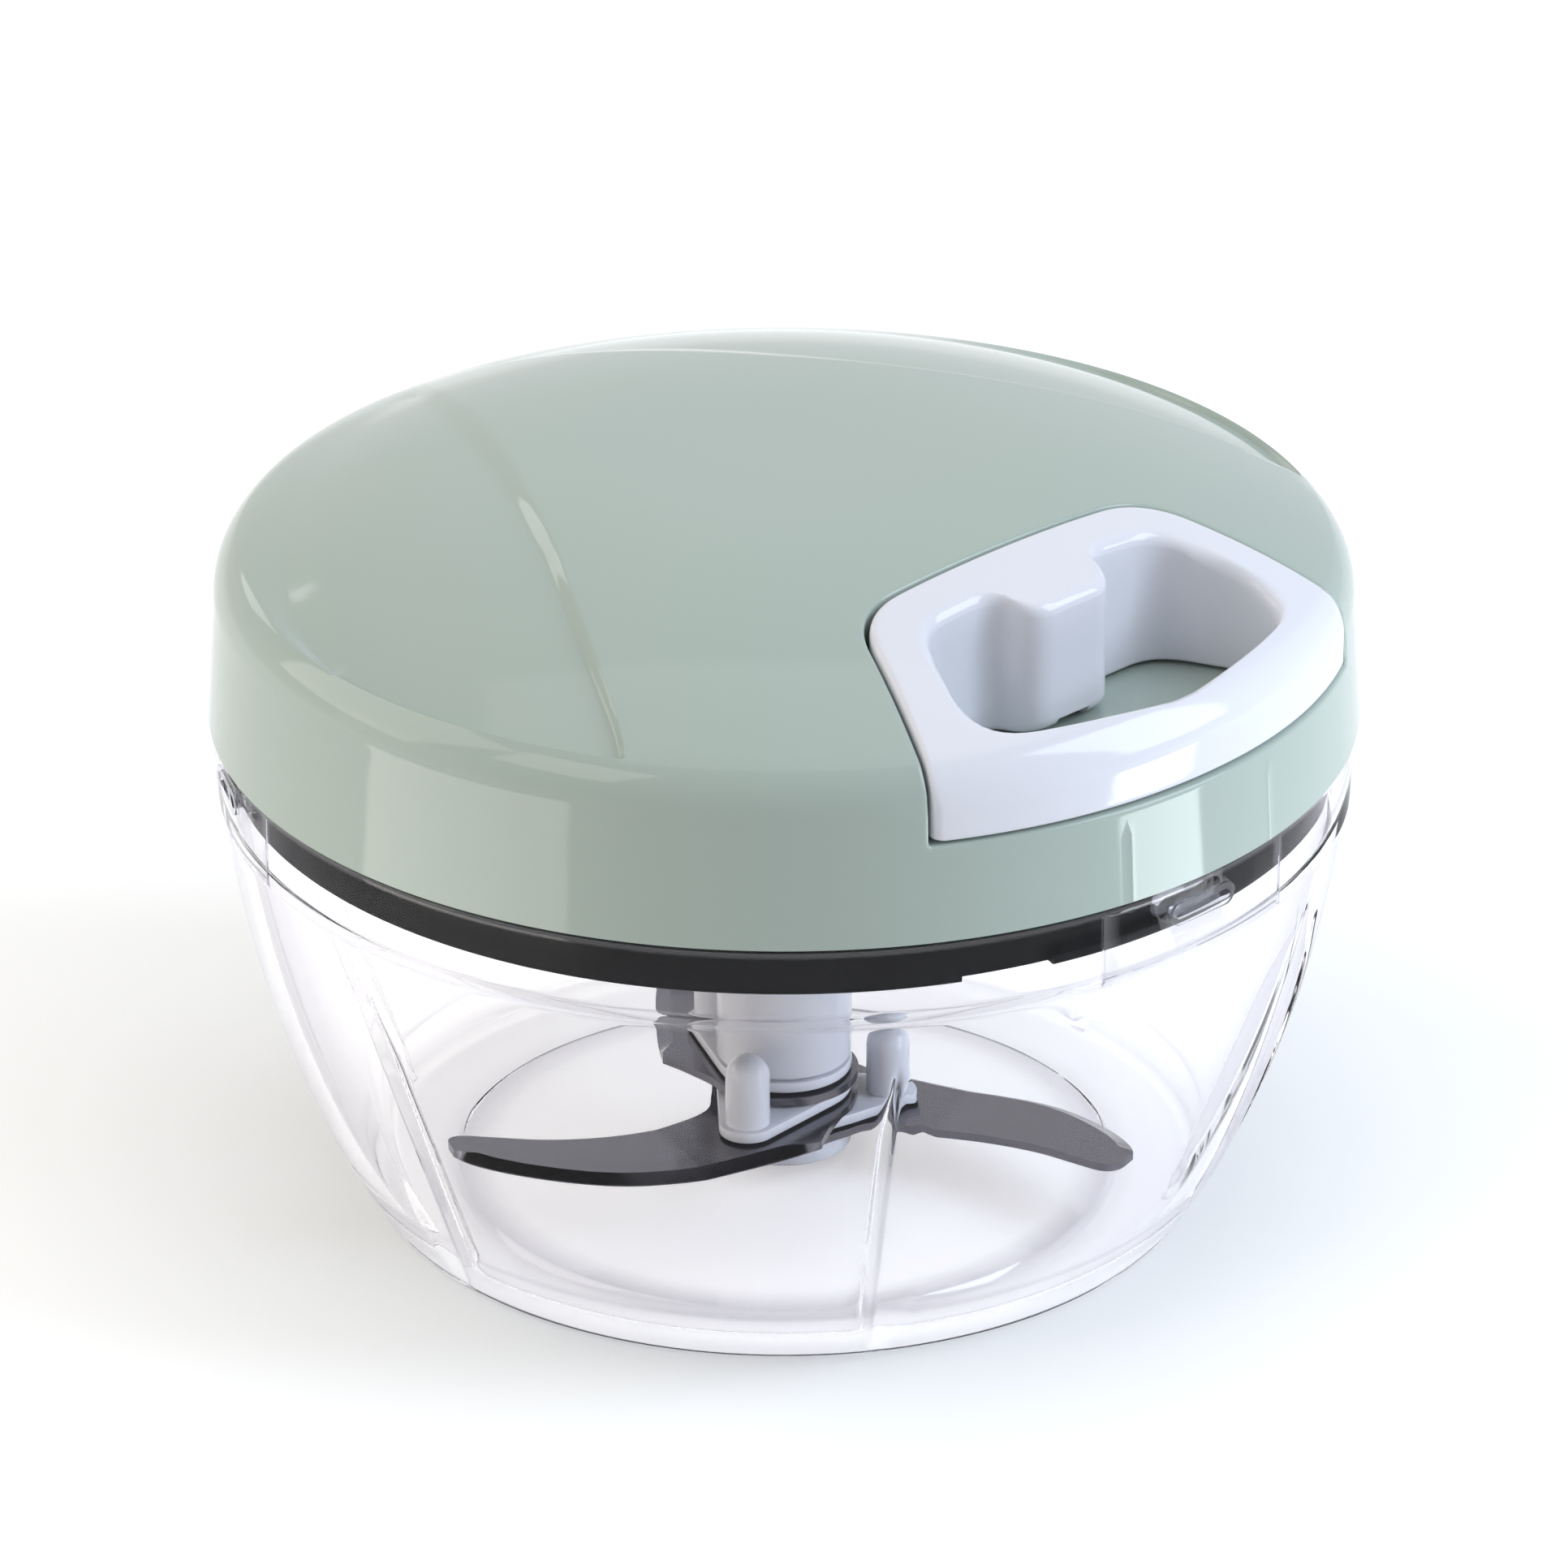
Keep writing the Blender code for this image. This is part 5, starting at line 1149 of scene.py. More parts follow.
@dataclass
class Lid:
    """Lid: the cover with its pocket, the base with its collar, the seal and what they hold."""

    dresser: Dresser
    form: LidForm
    plan: HandlePlan
    pocket_gap: float = 0.0004
    pocket_floor: float = 0.0660
    pocket_wall: float = 0.0018
    floor_thickness: float = 0.0020
    edge_round: float = 0.00045
    skirt_wall: float = 0.0020
    crown_wall: float = 0.0023
    mould_line_deg: float = 9.8
    mould_line_half_deg: float = 0.14
    mould_line_depth: float = 0.00006
    mould_line_start: float = 0.003
    pocket_reach: float = 0.045
    collar_radius: float = 0.0580
    collar_inner: float = 0.0546
    collar_bottom: float = 0.0493
    plate_bottom: float = 0.0560
    plate_top: float = 0.0580
    flange_radius: float = 0.0586
    well_radius: float = 0.0188
    well_wall: float = 0.0014
    well_top: float = 0.0632
    bore: float = 0.0060
    seal_height: float = 0.0014
    seal_depth: float = 0.0014
    seal_stand: float = 0.0001
    slot_depth: float = 0.0014
    slot_gap: float = 0.0004
    twist_deg: float = 22.0
    guide_hole: float = 0.00195
    guide_run: float = 0.005
    screw_radius: float = 0.0460
    screw_degrees: Floats = (80.0, 180.0, 280.0)
    boss_radius: float = 0.0050
    boss_bottom: float = 0.0773
    screw_boss_radius: float = 0.0032
    screw_boss_bottom: float = 0.0601
    above: float = 0.09
    edge_offsets: Floats = (0.0, 0.06, 0.15, 0.28, 0.45, 0.75, 1.1)
    edge_end: float = 0.45
    crease_places: Floats = (
        -0.65, -0.5, -0.4, -0.28, -0.14, 0.0, 0.14, 0.28, 0.4, 0.5, 0.65,
    )
    crease_share: float = 0.3
    crease_least: float = 0.00025
    crease_start_deg: int = 57
    crease_end_deg: int = 67
    crease_step_deg: float = 0.25
    ring_count: int = 29
    ring_step: float = 0.0012
    cell: float = 0.001
    fine_room: float = 0.0001
    wide_room: float = 0.0006
    lip_room: float = 0.00012
    small_round: float = 0.00025

    def build(self) -> None:
        """Build every shown piece of the lid."""
        self.cover()
        self.base()
        self.seal()
        self.dresser.keep(Material.STEEL, (
            "cord_guide", "reel_axle", "axle_washer", "return_spring", "lid_screw_1",
            "lid_screw_2", "lid_screw_3",
        ))
        self.dresser.keep(Material.WHITE, ("spring_cover", "cord_reel", "drive_spindle"))

    def pocket_flat(self, layout: UnrolledLid) -> list[Vector]:
        """Outline of the pocket in the flat layout, anticlockwise."""
        start, run = self.plan.side(-self.pocket_gap)
        corner = self.plan.back_corner
        back_steps, corner_steps, side_steps, down_steps, front_steps = 30, 14, 44, 6, 30
        half = [
            Vector(((start.x - corner) * step / back_steps, start.y)) for step in range(back_steps)
        ]
        half += fillet(start - Vector((corner, 0.0)), start, start + run * corner, corner_steps)
        length = run_out(start, run, self.form.skirt_top_radius)
        half += [start + run * way for way in spaced(corner, length, side_steps)]
        edge = [point.normalized() * layout.way_at_radius(point.length) for point in half]
        low = layout.way_at_height(self.pocket_floor)
        high = layout.way_at_radius(self.form.skirt_top_radius - 1e-9)
        angle = angle_of(half[-1])
        small = 2 * self.small_round
        rest = angle - small / low
        edge += [plan_point(way, angle) for way in spaced(high, low - small, down_steps)]
        ends = plan_point(low - small, angle), plan_point(low, angle), plan_point(low, rest)
        edge += fillet(*ends, 4)[1:]
        edge += [
            plan_point(low, rest * (1.0 - step / front_steps)) for step in range(1, front_steps)
        ]
        return list(reversed([*edge, plan_point(low, 0.0), *mirrored(edge[1:])]))

    def flat_points(self, layout: UnrolledLid) -> list[tuple[Vector, float]]:
        """Points of the flat layout with the clearance that each needs, the finest forms first."""
        form = self.form
        points: list[tuple[Vector, float]] = []
        travelled = math.inf
        for here, there in zip(form.line, form.line[1:]):
            width = form.band(math.degrees(angle_of(here)))
            travelled += (there - here).length
            if travelled < max(width * self.crease_share, self.crease_least):
                continue
            travelled = 0.0
            along = (there - here).normalized()
            out = Vector((along.y, -along.x))
            for share in self.crease_places:
                place = here.to_2d() + out * share * width
                if place.length < form.crown_radius - self.fine_room and place.x > 0.0:
                    points += [(spot, self.fine_room) for spot in (place, *mirrored([place]))]
        half = self.mould_line_half_deg
        lines = [self.mould_line_deg + shift for shift in (-half, 0.0, half)]
        first, last = self.crease_start_deg, self.crease_end_deg
        fine = [first + step * self.crease_step_deg for step in range(4 * (last - first) + 1)]
        whole = [float(step) for step in range(181) if not first <= step <= last]
        degrees = sorted(lines + fine + [a for a in whole if min(abs(a - b) for b in lines) > 0.4])
        degrees += [360.0 - angle for angle in degrees if 0.0 < angle < 180.0]
        ways = [way for way, _ in layout.stations[:-1]]
        ways += spaced(ways[-1], layout.reach, 9)
        for angle in degrees:
            folded = min(angle, 360.0 - angle)
            if folded > form.crease_degrees[0] - 1.0:
                lip = form.lip_width(folded)
                points += [
                    (round_axis(form.crown_radius - lip * share, angle).to_2d(), self.lip_room)
                    for share in form.lip_shares
                ]
            points += [(round_axis(way, angle).to_2d(), self.fine_room) for way in ways]
        for ring in range(1, self.ring_count):
            radius = form.crown_radius * ring / self.ring_count
            count = 8 * math.ceil(2.0 * math.pi * radius / self.ring_step / 8)
            points += [
                (round_axis(radius, 360.0 * step / count).to_2d(), self.wide_room)
                for step in range(count)
            ]
        return [(Vector((0.0, 0.0)), 0.0), *points]

    def spread(self, layout: UnrolledLid, guard: Sequence[Vector]) -> Iterable[Vector]:
        """Pick the flat points that stand clear of each other and of the pocket's edge.

        Args:
            layout: The flat layout.
            guard: Outermost line round the pocket.

        Yields:
            The points.
        """
        clear = self.edge_round * self.edge_offsets[-1] / self.edge_end
        low = min(abs(point.y) for point in guard) - clear
        cells: dict[tuple[int, int], list[Vector]] = {}
        for point, room in self.flat_points(layout):
            close = point.y < -low and abs(point.x) < self.pocket_reach
            if close and (inside(point, guard) or distance(point, guard) < clear):
                continue
            column, row = int(point.x // self.cell), int(point.y // self.cell)
            around = [
                other for i in (-1, 0, 1) for j in (-1, 0, 1)
                for other in cells.get((column + i, row + j), ())
            ]
            if all((point - other).length >= room for other in around):
                cells.setdefault((column, row), []).append(point)
                yield point

    def cover_surface(self) -> Mesh:
        """Closed outer form of the cover, with the pocket and its rounded edge."""
        layout = UnrolledLid(self.form)
        edge = self.pocket_flat(layout)
        flat: list[Vector] = []
        sunk: list[float] = []
        for share in self.edge_offsets:
            guard = grown(edge, share * self.edge_round / self.edge_end)
            gone = min(share / self.edge_end, 1.0)
            flat += guard
            depth = self.edge_round * (1.0 - math.sqrt(1.0 - (1.0 - gone) ** 2))
            sunk += [depth] * len(guard)
        count = len(edge)
        constraints = [(index, (index + 1) % count) for index in range(count)]
        for point in self.spread(layout, guard):
            flat.append(point)
            sunk.append(0.0)
        verts, _, faces, origins, _, _ = delaunay_2d_cdt(flat, constraints, [], 0, 1e-9, True)
        bm = bmesh.new()
        lifted = []
        for place, origin in zip(verts, origins):
            depth = sunk[origin[0]] if origin else 0.0
            angle = abs(math.degrees(angle_of(place)))
            ridge = 1.0 - abs(angle - self.mould_line_deg) / self.mould_line_half_deg
            if ridge > 0.0 and place.length > self.form.skirt_top_radius + self.mould_line_start:
                depth -= self.mould_line_depth * ridge
            lifted.append(bm.verts.new(layout.lift(place, depth)))
        for face in faces:
            middle = sum((verts[index] for index in face), Vector((0.0, 0.0))) / len(face)
            if not inside(middle, edge):
                bm.faces.new([lifted[index] for index in face])
        owner = {origin: index for index, group in enumerate(origins) for origin in group}
        rim = [lifted[owner[index]] for index in range(count)]
        floor = []
        for vert in rim:
            if vert.co.z < self.pocket_floor + 0.0002:
                vert.co.z = self.pocket_floor
                floor.append(vert)
            else:
                floor.append(bm.verts.new((vert.co.x, vert.co.y, self.pocket_floor)))
        for index in range(count):
            after = (index + 1) % count
            ring = list(dict.fromkeys((rim[index], rim[after], floor[after], floor[index])))
            if len(ring) > 2:
                bm.faces.new(ring)
        bm.faces.new(floor)
        outer = [lifted[i] for i, place in enumerate(verts) if place.length > layout.reach - 1e-7]
        outer.sort(key=lambda vert: math.atan2(vert.co.y, vert.co.x))
        bm.faces.new(outer)
        return bm

    def hollow(self) -> Piece:
        """Solid of the hollow under the cover, spared where the pocket and the bosses stand."""
        form = self.form
        shares = (0.0, 0.2, 0.35, 0.5, 0.6, 0.7, 0.78, 0.85, 0.9)
        radii = [form.crown_radius * share for share in shares]
        profile = [(radius, form.height(radius) - self.crown_wall) for radius in radii]
        inner = form.skirt_radius - self.skirt_wall
        corner = form.skirt_top_radius - self.skirt_wall
        half = self.skirt_wall / 2
        low = form.skirt_bottom - OVERRUN
        profile += [
            (corner - half, form.crown_edge - self.crown_wall - half),
            (corner, form.skirt_top - half), (inner, low), (0.0, low),
        ]
        hollow = new_object("cover_hollow", turned(profile, 180, False))
        grow = self.pocket_gap + self.pocket_wall
        outline = self.plan.loop(
            -grow, form.skirt_radius + OVERRUN, self.plan.back_corner, self.plan.front_corner
        )
        floor = self.pocket_floor - self.floor_thickness
        block = prism([tuple(point) for point in outline], floor, self.above)
        boolean(hollow, new_object("pocket_block", block))
        bosses = rod(self.boss_radius, self.boss_bottom, self.above)
        for angle in self.screw_degrees:
            place = round_axis(self.screw_radius, angle)
            gather(bosses, rod(
                self.screw_boss_radius, self.screw_boss_bottom, self.above, place, ROD_STEPS,
            ))
        return boolean(hollow, new_object("cover_bosses", bosses))

    def cover(self) -> None:
        """Build the cover and cut its hollow and the hole of the cord guide."""
        cover = new_object("lid_cover_shell", self.cover_surface())
        boolean(cover, self.hollow())
        back = -self.plan.back
        hole = lying_rod("guide_hole", self.guide_hole, back - OVERRUN / 2, back + self.guide_run)
        boolean(cover, hole)
        self.dresser.dress(cover, Material.SAGE, "lid_cover", "lid", 38.0)

    def base(self) -> None:
        """Build the base with its collar, the bayonet slots and the spring's well."""
        low, high, end = self.plate_bottom, self.plate_top, self.collar_bottom
        groove = low - self.seal_height - 2 * FIT
        groove_floor = self.collar_radius - self.seal_depth - FIT
        well, well_outer = self.well_radius, self.well_radius + self.well_wall
        path = [
            (self.bore, high), (well, high), (well, self.well_top), (well_outer, self.well_top),
            (well_outer, high), (self.flange_radius, high), (self.flange_radius, low),
            (groove_floor, low), (groove_floor, groove), (self.collar_radius, groove),
            (self.collar_radius, end), (self.collar_inner, end), (self.collar_inner, low),
            (self.bore, low),
        ]
        small = self.small_round
        radii = [0, 0, small, small, 0, small, small, 0, 0, small, 0.0004, 0.0004, 0.0006, 0]
        base = new_object("lid_base_shell", turned(rounded(path, radii, 3), 288, True))
        boolean(base, self.slots())
        self.dresser.dress(base, Material.BLACK, "lid_base", "lid")

    def slots(self) -> Piece:
        """Cutter for the L-shaped bayonet slots, repeated round the collar."""
        wide = math.degrees((Lug.half + self.slot_gap) / self.collar_radius)
        inner = self.collar_radius - self.slot_depth
        outer = self.collar_radius + OVERRUN
        low = Lug.middle - Lug.height / 2 - self.slot_gap
        high = Lug.middle + Lug.height / 2 + self.slot_gap
        open_deg = -self.twist_deg
        run = sector(inner, outer, low, high, open_deg - wide, wide)
        mouth = sector(
            inner, outer, self.collar_bottom - OVERRUN, high - 1e-5, open_deg - wide,
            open_deg + wide,
        )
        slot = boolean(new_object("slot_run", run), new_object("slot_mouth", mouth), "UNION")
        return RingArray(Lug.count).apply(slot)

    def seal(self) -> None:
        """Build the ring seal with its rounded lip."""
        top = self.plate_bottom - FIT
        bottom = top - self.seal_height
        inner = self.collar_radius - self.seal_depth
        outer = self.collar_radius - FIT
        lip = self.collar_radius + self.seal_stand
        path = [(inner, top), (outer, top), (lip, (top + bottom) / 2), (outer, bottom),
                (inner, bottom)]
        soft = rounded(path, [0, 0.0003, 0.0003, 0.0003, 0], 4)
        seal = new_object("seal_ring_soft", turned(soft, 240, True))
        self.dresser.dress(seal, Material.RUBBER, "seal_ring", "lid")


@dataclass
class Handle:
    """Pull handle and the cord that runs out with it."""

    dresser: Dresser
    form: LidForm
    plan: HandlePlan
    maker: CordMaker
    inner_round: float = 0.0016
    outer_round: float = 0.0011
    under_round: float = 0.0005
    boss_round: float = 0.0016
    cord_start: float = 0.0270
    cord_end: float = 0.0377
    knot_radius: float = 0.0018
    chamber_half: float = 0.0023
    chamber_gap: float = 0.0005
    bore: float = 0.00105
    top_shares: Floats = (0.08, 0.18, 0.3, 0.42, 0.54, 0.66, 0.76, 0.84, 0.9, 0.95)
    knot_depth: float = 1.6

    def build(self) -> None:
        """Build the handle and its cord."""
        self.grip()
        self.cord()
        self.knot()

    def section(self, near: Vector, far: Vector) -> list[Vector]:
        """Section of the ring between the opening and the outer edge.

        Args:
            near: Point of the opening in plan.
            far: Point of the outer edge in plan.

        Returns:
            Points from the foot of the opening's wall over the top to the outer foot.
        """
        width = (far - near).length
        out = (far - near) / width
        bottom = self.plan.bottom
        under = self.under_round
        soft = under + (self.boss_round - under) * self.plan.bulge(near)
        reach = self.form.skirt_top_radius / self.plan.front_radius

        def top(distance_in: float) -> float:
            """Height of the top at a distance from the opening."""
            return self.form.height((near + out * distance_in).length * reach) + self.plan.proud

        def at(distance_in: float, height: float) -> Vector:
            """Point of the section."""
            place = near + out * distance_in
            return Vector((place.x, place.y, height))

        turns = quarter(4)
        inner = min(self.inner_round, width * 0.4)
        outer = min(self.outer_round, width * 0.3)
        points = [at(soft * (1 - math.sin(a)), bottom + soft * (1 - math.cos(a))) for a in turns]
        wall = top(inner) - inner
        points += [at(0.0, height) for height in spaced(bottom + soft, wall, 6)]
        points += [
            at(inner * (1 - math.cos(a)), top(inner) - inner * (1 - math.sin(a)))
            for a in quarter(6)[1:]
        ]
        span = width - inner - outer
        places = [inner + span * share for share in self.top_shares]
        points += [at(place, top(place)) for place in places]
        edge = width - outer
        slope = (top(edge) - top(edge - 1e-5)) / 1e-5
        corner = top(edge) + slope * outer
        ends = [Vector((edge, top(edge))), Vector((width, corner)), Vector((width, corner - outer))]
        points += [at(place.x, place.y) for place in fillet(*ends, 7)]
        points += [at(width, height) for height in spaced(corner - outer, bottom + under, 4)]
        points += [
            at(width - under * (1 - math.cos(a)), bottom + under * (1 - math.sin(a)))
            for a in turns[1:]
        ]
        return points

    def grip(self) -> None:
        """Build the ring of the handle, with the cord's hole and the chamber of the knot."""
        plan = self.plan
        outer = plan.loop(0.0, plan.front_radius, plan.back_corner, plan.front_corner)
        inner = plan.opening()
        bm = bmesh.new()
        sections = [
            [bm.verts.new(point) for point in self.section(near, far)]
            for near, far in zip(inner, outer)
        ]
        for here, there in zip(sections, sections[1:] + sections[:1]):
            bridge(bm, here, there)
        grip = new_object("pull_handle_grip", bm)
        back = -(plan.back + plan.bar + self.chamber_gap)
        half = self.chamber_half
        bore = lying_rod("cord_bore", self.bore, back - half, -plan.back + OVERRUN)
        boolean(grip, bore)
        outline = [(-half, back), (half, back), (half, back - 2 * half), (-half, back - 2 * half)]
        chamber = prism(outline, plan.bottom - OVERRUN, CORD_HEIGHT + half)
        boolean(grip, new_object("knot_chamber", chamber))
        self.dresser.dress(grip, Material.WHITE, "pull_handle", "handle", 40.0)

    def cord(self) -> None:
        """Build the stretch of cord that is drawn out between the lid and the handle."""
        start, end = (
            Vector((0.0, -place, CORD_HEIGHT)) for place in (self.cord_start, self.cord_end)
        )
        cord = self.maker.tube("pull_cord_run", [start.lerp(end, step / 48) for step in range(49)])
        self.dresser.dress(cord, Material.NYLON, "pull_cord", None, 60.0)
        tuple(start)
        tuple(end)
        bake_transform(cord)

    def knot(self) -> None:
        """Tie the knot behind which the boss is caught, as a tight trefoil of the cord."""
        low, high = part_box("cord_knot")
        centre = (Vector(low) + Vector(high)) / 2.0
        size = (self.knot_radius - self.maker.radius) / 3.0
        points = []
        for step in range(97):
            turn = 2.0 * math.pi * step / 96
            across = math.sin(turn) + 2.0 * math.sin(2.0 * turn)
            up = math.cos(turn) - 2.0 * math.cos(2.0 * turn)
            deep = -self.knot_depth * math.sin(3.0 * turn)
            points.append(centre + Vector((across, deep, up)) * size)
        knot = self.maker.tube("cord_knot_trefoil", points)
        self.dresser.dress(knot, Material.NYLON, "cord_knot", "handle", 60.0)


@dataclass
class CordMaker:
    """Braided cord: the tube that carries its UV map, and the stretches on and off the reel."""

    dresser: Dresser
    radius: float = 0.0007
    sides: int = 14
    first_turn: float = 0.0115
    pitch: float = 0.00187
    turns: int = 5
    turn_steps: int = 64
    guide_rear: float = 0.0267
    bend_share: float = 0.75

    def tube(self, name: str, points: Sequence[Vector]) -> Piece:
        """Build a closed tube along a path.

        Args:
            name: Name of the piece.
            points: Its middle line.

        Returns:
            The piece, with its UV map along and across the cord.
        """
        bm = bmesh.new()
        braid = bm.loops.layers.uv.new("braid")
        angles = [2.0 * math.pi * step / self.sides for step in range(self.sides)]
        corners = ((0, 0), (0, 1), (1, 1), (1, 0))
        columns = []
        ways = [0.0]
        side = None
        for index, point in enumerate(points):
            before, after = points[max(index - 1, 0)], points[min(index + 1, len(points) - 1)]
            along = (after - before).normalized()
            if side is None:
                side = along.orthogonal()
            side = (side - along * side.dot(along)).normalized()
            up = along.cross(side)
            columns.append([
                bm.verts.new(point + (side * math.cos(angle) + up * math.sin(angle)) * self.radius)
                for angle in angles
            ])
            if index:
                ways.append(ways[-1] + (point - before).length / (8.0 * self.radius))
        for ring, (here, there) in enumerate(zip(columns, columns[1:])):
            for column, face in enumerate(bridge(bm, here, there)):
                for loop, (further, across) in zip(face.loops, corners):
                    loop[braid].uv = (ways[ring + further], (column + across) / self.sides)
        bm.faces.new(list(reversed(columns[0])))
        bm.faces.new(columns[-1])
        return new_object(name, bm, recalculate=False)

    def leave(self) -> tuple[Vector, Vector]:
        """Point where the cord leaves the reel, and its end at the guide."""
        guide = Vector((0.0, -self.guide_rear))
        last = self.first_turn + self.pitch * self.turns
        touch = round_axis(last, -math.degrees(math.acos(last / guide.length))).to_2d()
        clear = last + 2.0 * self.radius + FIT
        run = (guide - touch).normalized()
        return touch + run * math.sqrt(clear**2 - last**2), guide

    def build(self) -> None:
        """Build the turns on the reel and the stretch from the reel to the guide."""
        start, end = self.leave()
        last_deg = math.degrees(angle_of(start))
        count = self.turns * self.turn_steps
        spiral = [
            round_axis(
                self.first_turn + self.pitch * step / self.turn_steps,
                last_deg + 360.0 * (step / self.turn_steps - self.turns), CORD_HEIGHT,
            )
            for step in range(count + 1)
        ]
        winding = self.tube("cord_winding_turns", spiral)
        self.dresser.dress(winding, Material.NYLON, "cord_winding", "reel", 60.0)
        bend = Vector((0.0, start.y + (end.y - start.y) * self.bend_share))
        path = [Vector((point.x, point.y, CORD_HEIGHT)) for point in fillet(start, bend, end, 24)]
        lead = self.tube("cord_lead_run", path)
        self.dresser.dress(lead, Material.NYLON, "cord_lead", "lid", 60.0)


@dataclass
class Bowl:
    """Clear bowl with its folded wall, rim band, bayonet lugs and pivot boss."""

    dresser: Dresser
    top_radius: float = 0.0603
    base_share: float = 0.728
    rim_height: float = 0.0551
    law_height: float = 0.0557
    band_height: float = 0.0465
    line_room: float = 0.0004
    band_step: float = 0.0003
    wall: float = 0.0019
    upper_power: float = 1.83
    lower_power: float = 1.22
    floor: float = 0.0027
    floor_fillet: float = 0.0030
    foot_corner: float = 0.0011
    foot_ring: float = 0.0066
    foot_rise: float = 0.0016
    foot_recess: float = 0.0008
    foot_slope: float = 0.0009
    pleat_count: int = 6
    pleat_first_deg: float = -33.3
    apex_height: float = 0.0551 * 0.719
    pleat_foot_stand: float = 0.0004
    pleat_foot_spread: float = 0.0010
    steep_share: float = 0.56
    wide_share: float = 1.42
    least_width: float = 0.0007
    blend_depth: float = 0.0015
    lip_round: float = 0.0006
    fold_round: float = 0.00025
    rim_round: float = 0.0004
    floor_shares: Floats = (0.25, 0.5, 0.7, 0.85, 0.93, 1.0)
    lowest_level: float = 0.0022
    boss_radius: float = 0.0032
    boss_height: float = 0.0024
    pin_hole: float = 0.0018
    pin_depth: float = 0.0029
    pin_mouth: float = 0.0002
    boss_round: float = 0.0003
    boss_foot: float = 0.0006
    rim_face: float = 0.003
    step_round: float = 0.0001
    ring_round: float = 0.0002
    lug_stand: float = 0.0012
    lug_core: float = 0.0012
    lug_core_wall: float = 0.0007
    mark_deg: float = 12.6
    mark_width: float = 0.00022
    mark_stand: float = 0.00010
    mark_depth: float = 0.0006
    mark_room: float = 0.0005
    insert_rise: float = 0.0009
    lug_rim: float = 0.00012

    @property
    def base_radius(self) -> float:
        """Radius that the wall's law starts from."""
        return self.top_radius * self.base_share

    def outer(self, height: float) -> float:
        """Outer radius of the wall at a height."""
        share = min(max(height / self.law_height, 0.0), 1.0)
        bulge = (1.0 - (1.0 - share) ** self.upper_power) ** (1.0 / self.lower_power)
        return self.base_radius + (self.top_radius - self.base_radius) * bulge

    def inner(self, height: float) -> float:
        """Inner radius of the wall at a height."""
        rise = self.wall / 4
        slope = (self.outer(height + rise) - self.outer(height - rise)) / (2 * rise)
        return self.outer(height) - self.wall * math.sqrt(1.0 + slope**2)

    def valley(self, height: float) -> float:
        """Radius of the straight fold of a pleat in the outer wall."""
        base = self.base_radius + self.pleat_foot_stand
        return base + (self.outer(self.apex_height) - base) * height / self.apex_height

    def levels(self) -> list[tuple[float, float, float]]:
        """Profile of the bowl.

        Returns:
            Radius, height and distance inside the outer wall, over the floor, up and back down.
        """
        low, boss, soft = self.floor, self.boss_radius, self.floor_fillet
        top, rim, band = self.top_radius, self.rim_height, self.band_height
        apex, room, lip = self.apex_height, self.line_room, self.rim_round
        small = self.step_round
        pin, mouth = self.pin_hole, self.pin_mouth
        boss_top = low + self.boss_height
        hole = boss_top - self.pin_depth
        start = self.inner(low + soft) - soft
        inner = [
            (0.0, hole), (pin, hole), (pin, boss_top - mouth), (pin + mouth, boss_top),
            (boss - self.boss_round, boss_top), (boss, boss_top - self.boss_round),
            (boss, low + self.boss_foot), (boss + self.boss_foot, low),
        ]
        inner += [(boss + (start - boss) * share, low) for share in self.floor_shares]
        inner += [
            (start + soft * math.sin(a), low + soft * (1 - math.cos(a))) for a in quarter(8)[1:]
        ]
        heights = [*spaced(low + soft, apex, 26), *spaced(apex, band, 6)[:-1], band - room]
        inner += [(self.inner(height), height) for height in heights]
        side = top - self.wall
        inner += [
            (side - self.band_step, band), (side, band + room), (side, band + 2 * room),
            (side, rim - lip - room), (side, rim - lip), (side + lip * 0.3, rim - lip * 0.3),
            (side + lip, rim),
        ]
        outer = [
            (top - lip, rim), (top - lip * 0.3, rim - lip * 0.3), (top, rim - lip),
            (top, rim - lip - room), (top, rim - self.rim_face), (top, band + 2 * room),
            (top, band + room), (top - 1.2 * small, band + small), (top - self.band_step, band),
        ]
        shares = [0.995, 0.985, 0.97, 0.95, 0.925, *(0.9 - 0.0286 * step for step in range(29))]
        down = [band - room, *spaced(band, apex, 8)]
        down += [apex * share for share in shares if share * apex > self.lowest_level]
        outer += [(self.outer(height), height) for height in down]
        foot = self.base_radius - self.foot_corner
        wide = self.outer(self.foot_rise) - foot
        outer += [
            (foot + wide * math.cos(a), self.foot_rise * (1 - math.sin(a))) for a in quarter(6)
        ]
        ring, recess = foot - self.foot_ring, self.foot_recess
        outer += [
            (foot - self.foot_ring / 2, 0.0), (ring + self.ring_round, 0.0), (ring - small, small),
            (ring - self.foot_slope, recess), (ring * 0.85, recess), (ring * 0.5, recess),
            (0.0, recess),
        ]
        return [(*place, self.wall) for place in inner] + [(*place, 0.0) for place in outer]

    def fold(self, depth: float, wall: float) -> tuple[float, float, float, float]:
        """Widths of a pleat's two faces, shift of its fold and how far the fold goes in.

        Args:
            depth: Depth of the groove in the outer wall.
            wall: Distance of the folded surface inside the outer one.

        Returns:
            Steep width, wide width, shift and inward distance.
        """
        steep = math.atan(self.steep_share)
        wide = math.atan(self.wide_share)
        grown_wall = wall * min(depth / self.blend_depth, 1.0)
        spread = math.sin(steep + wide)
        left = depth * self.steep_share + grown_wall * (1.0 - math.sin(steep)) / math.cos(steep)
        right = depth * self.wide_share + grown_wall * (1.0 - math.sin(wide)) / math.cos(wide)
        shift = -grown_wall * (math.sin(wide) - math.sin(steep)) / spread
        inward = wall + grown_wall * ((math.cos(steep) + math.cos(wide)) / spread - 1.0)
        return max(left, self.least_width), max(right, self.least_width), shift, inward

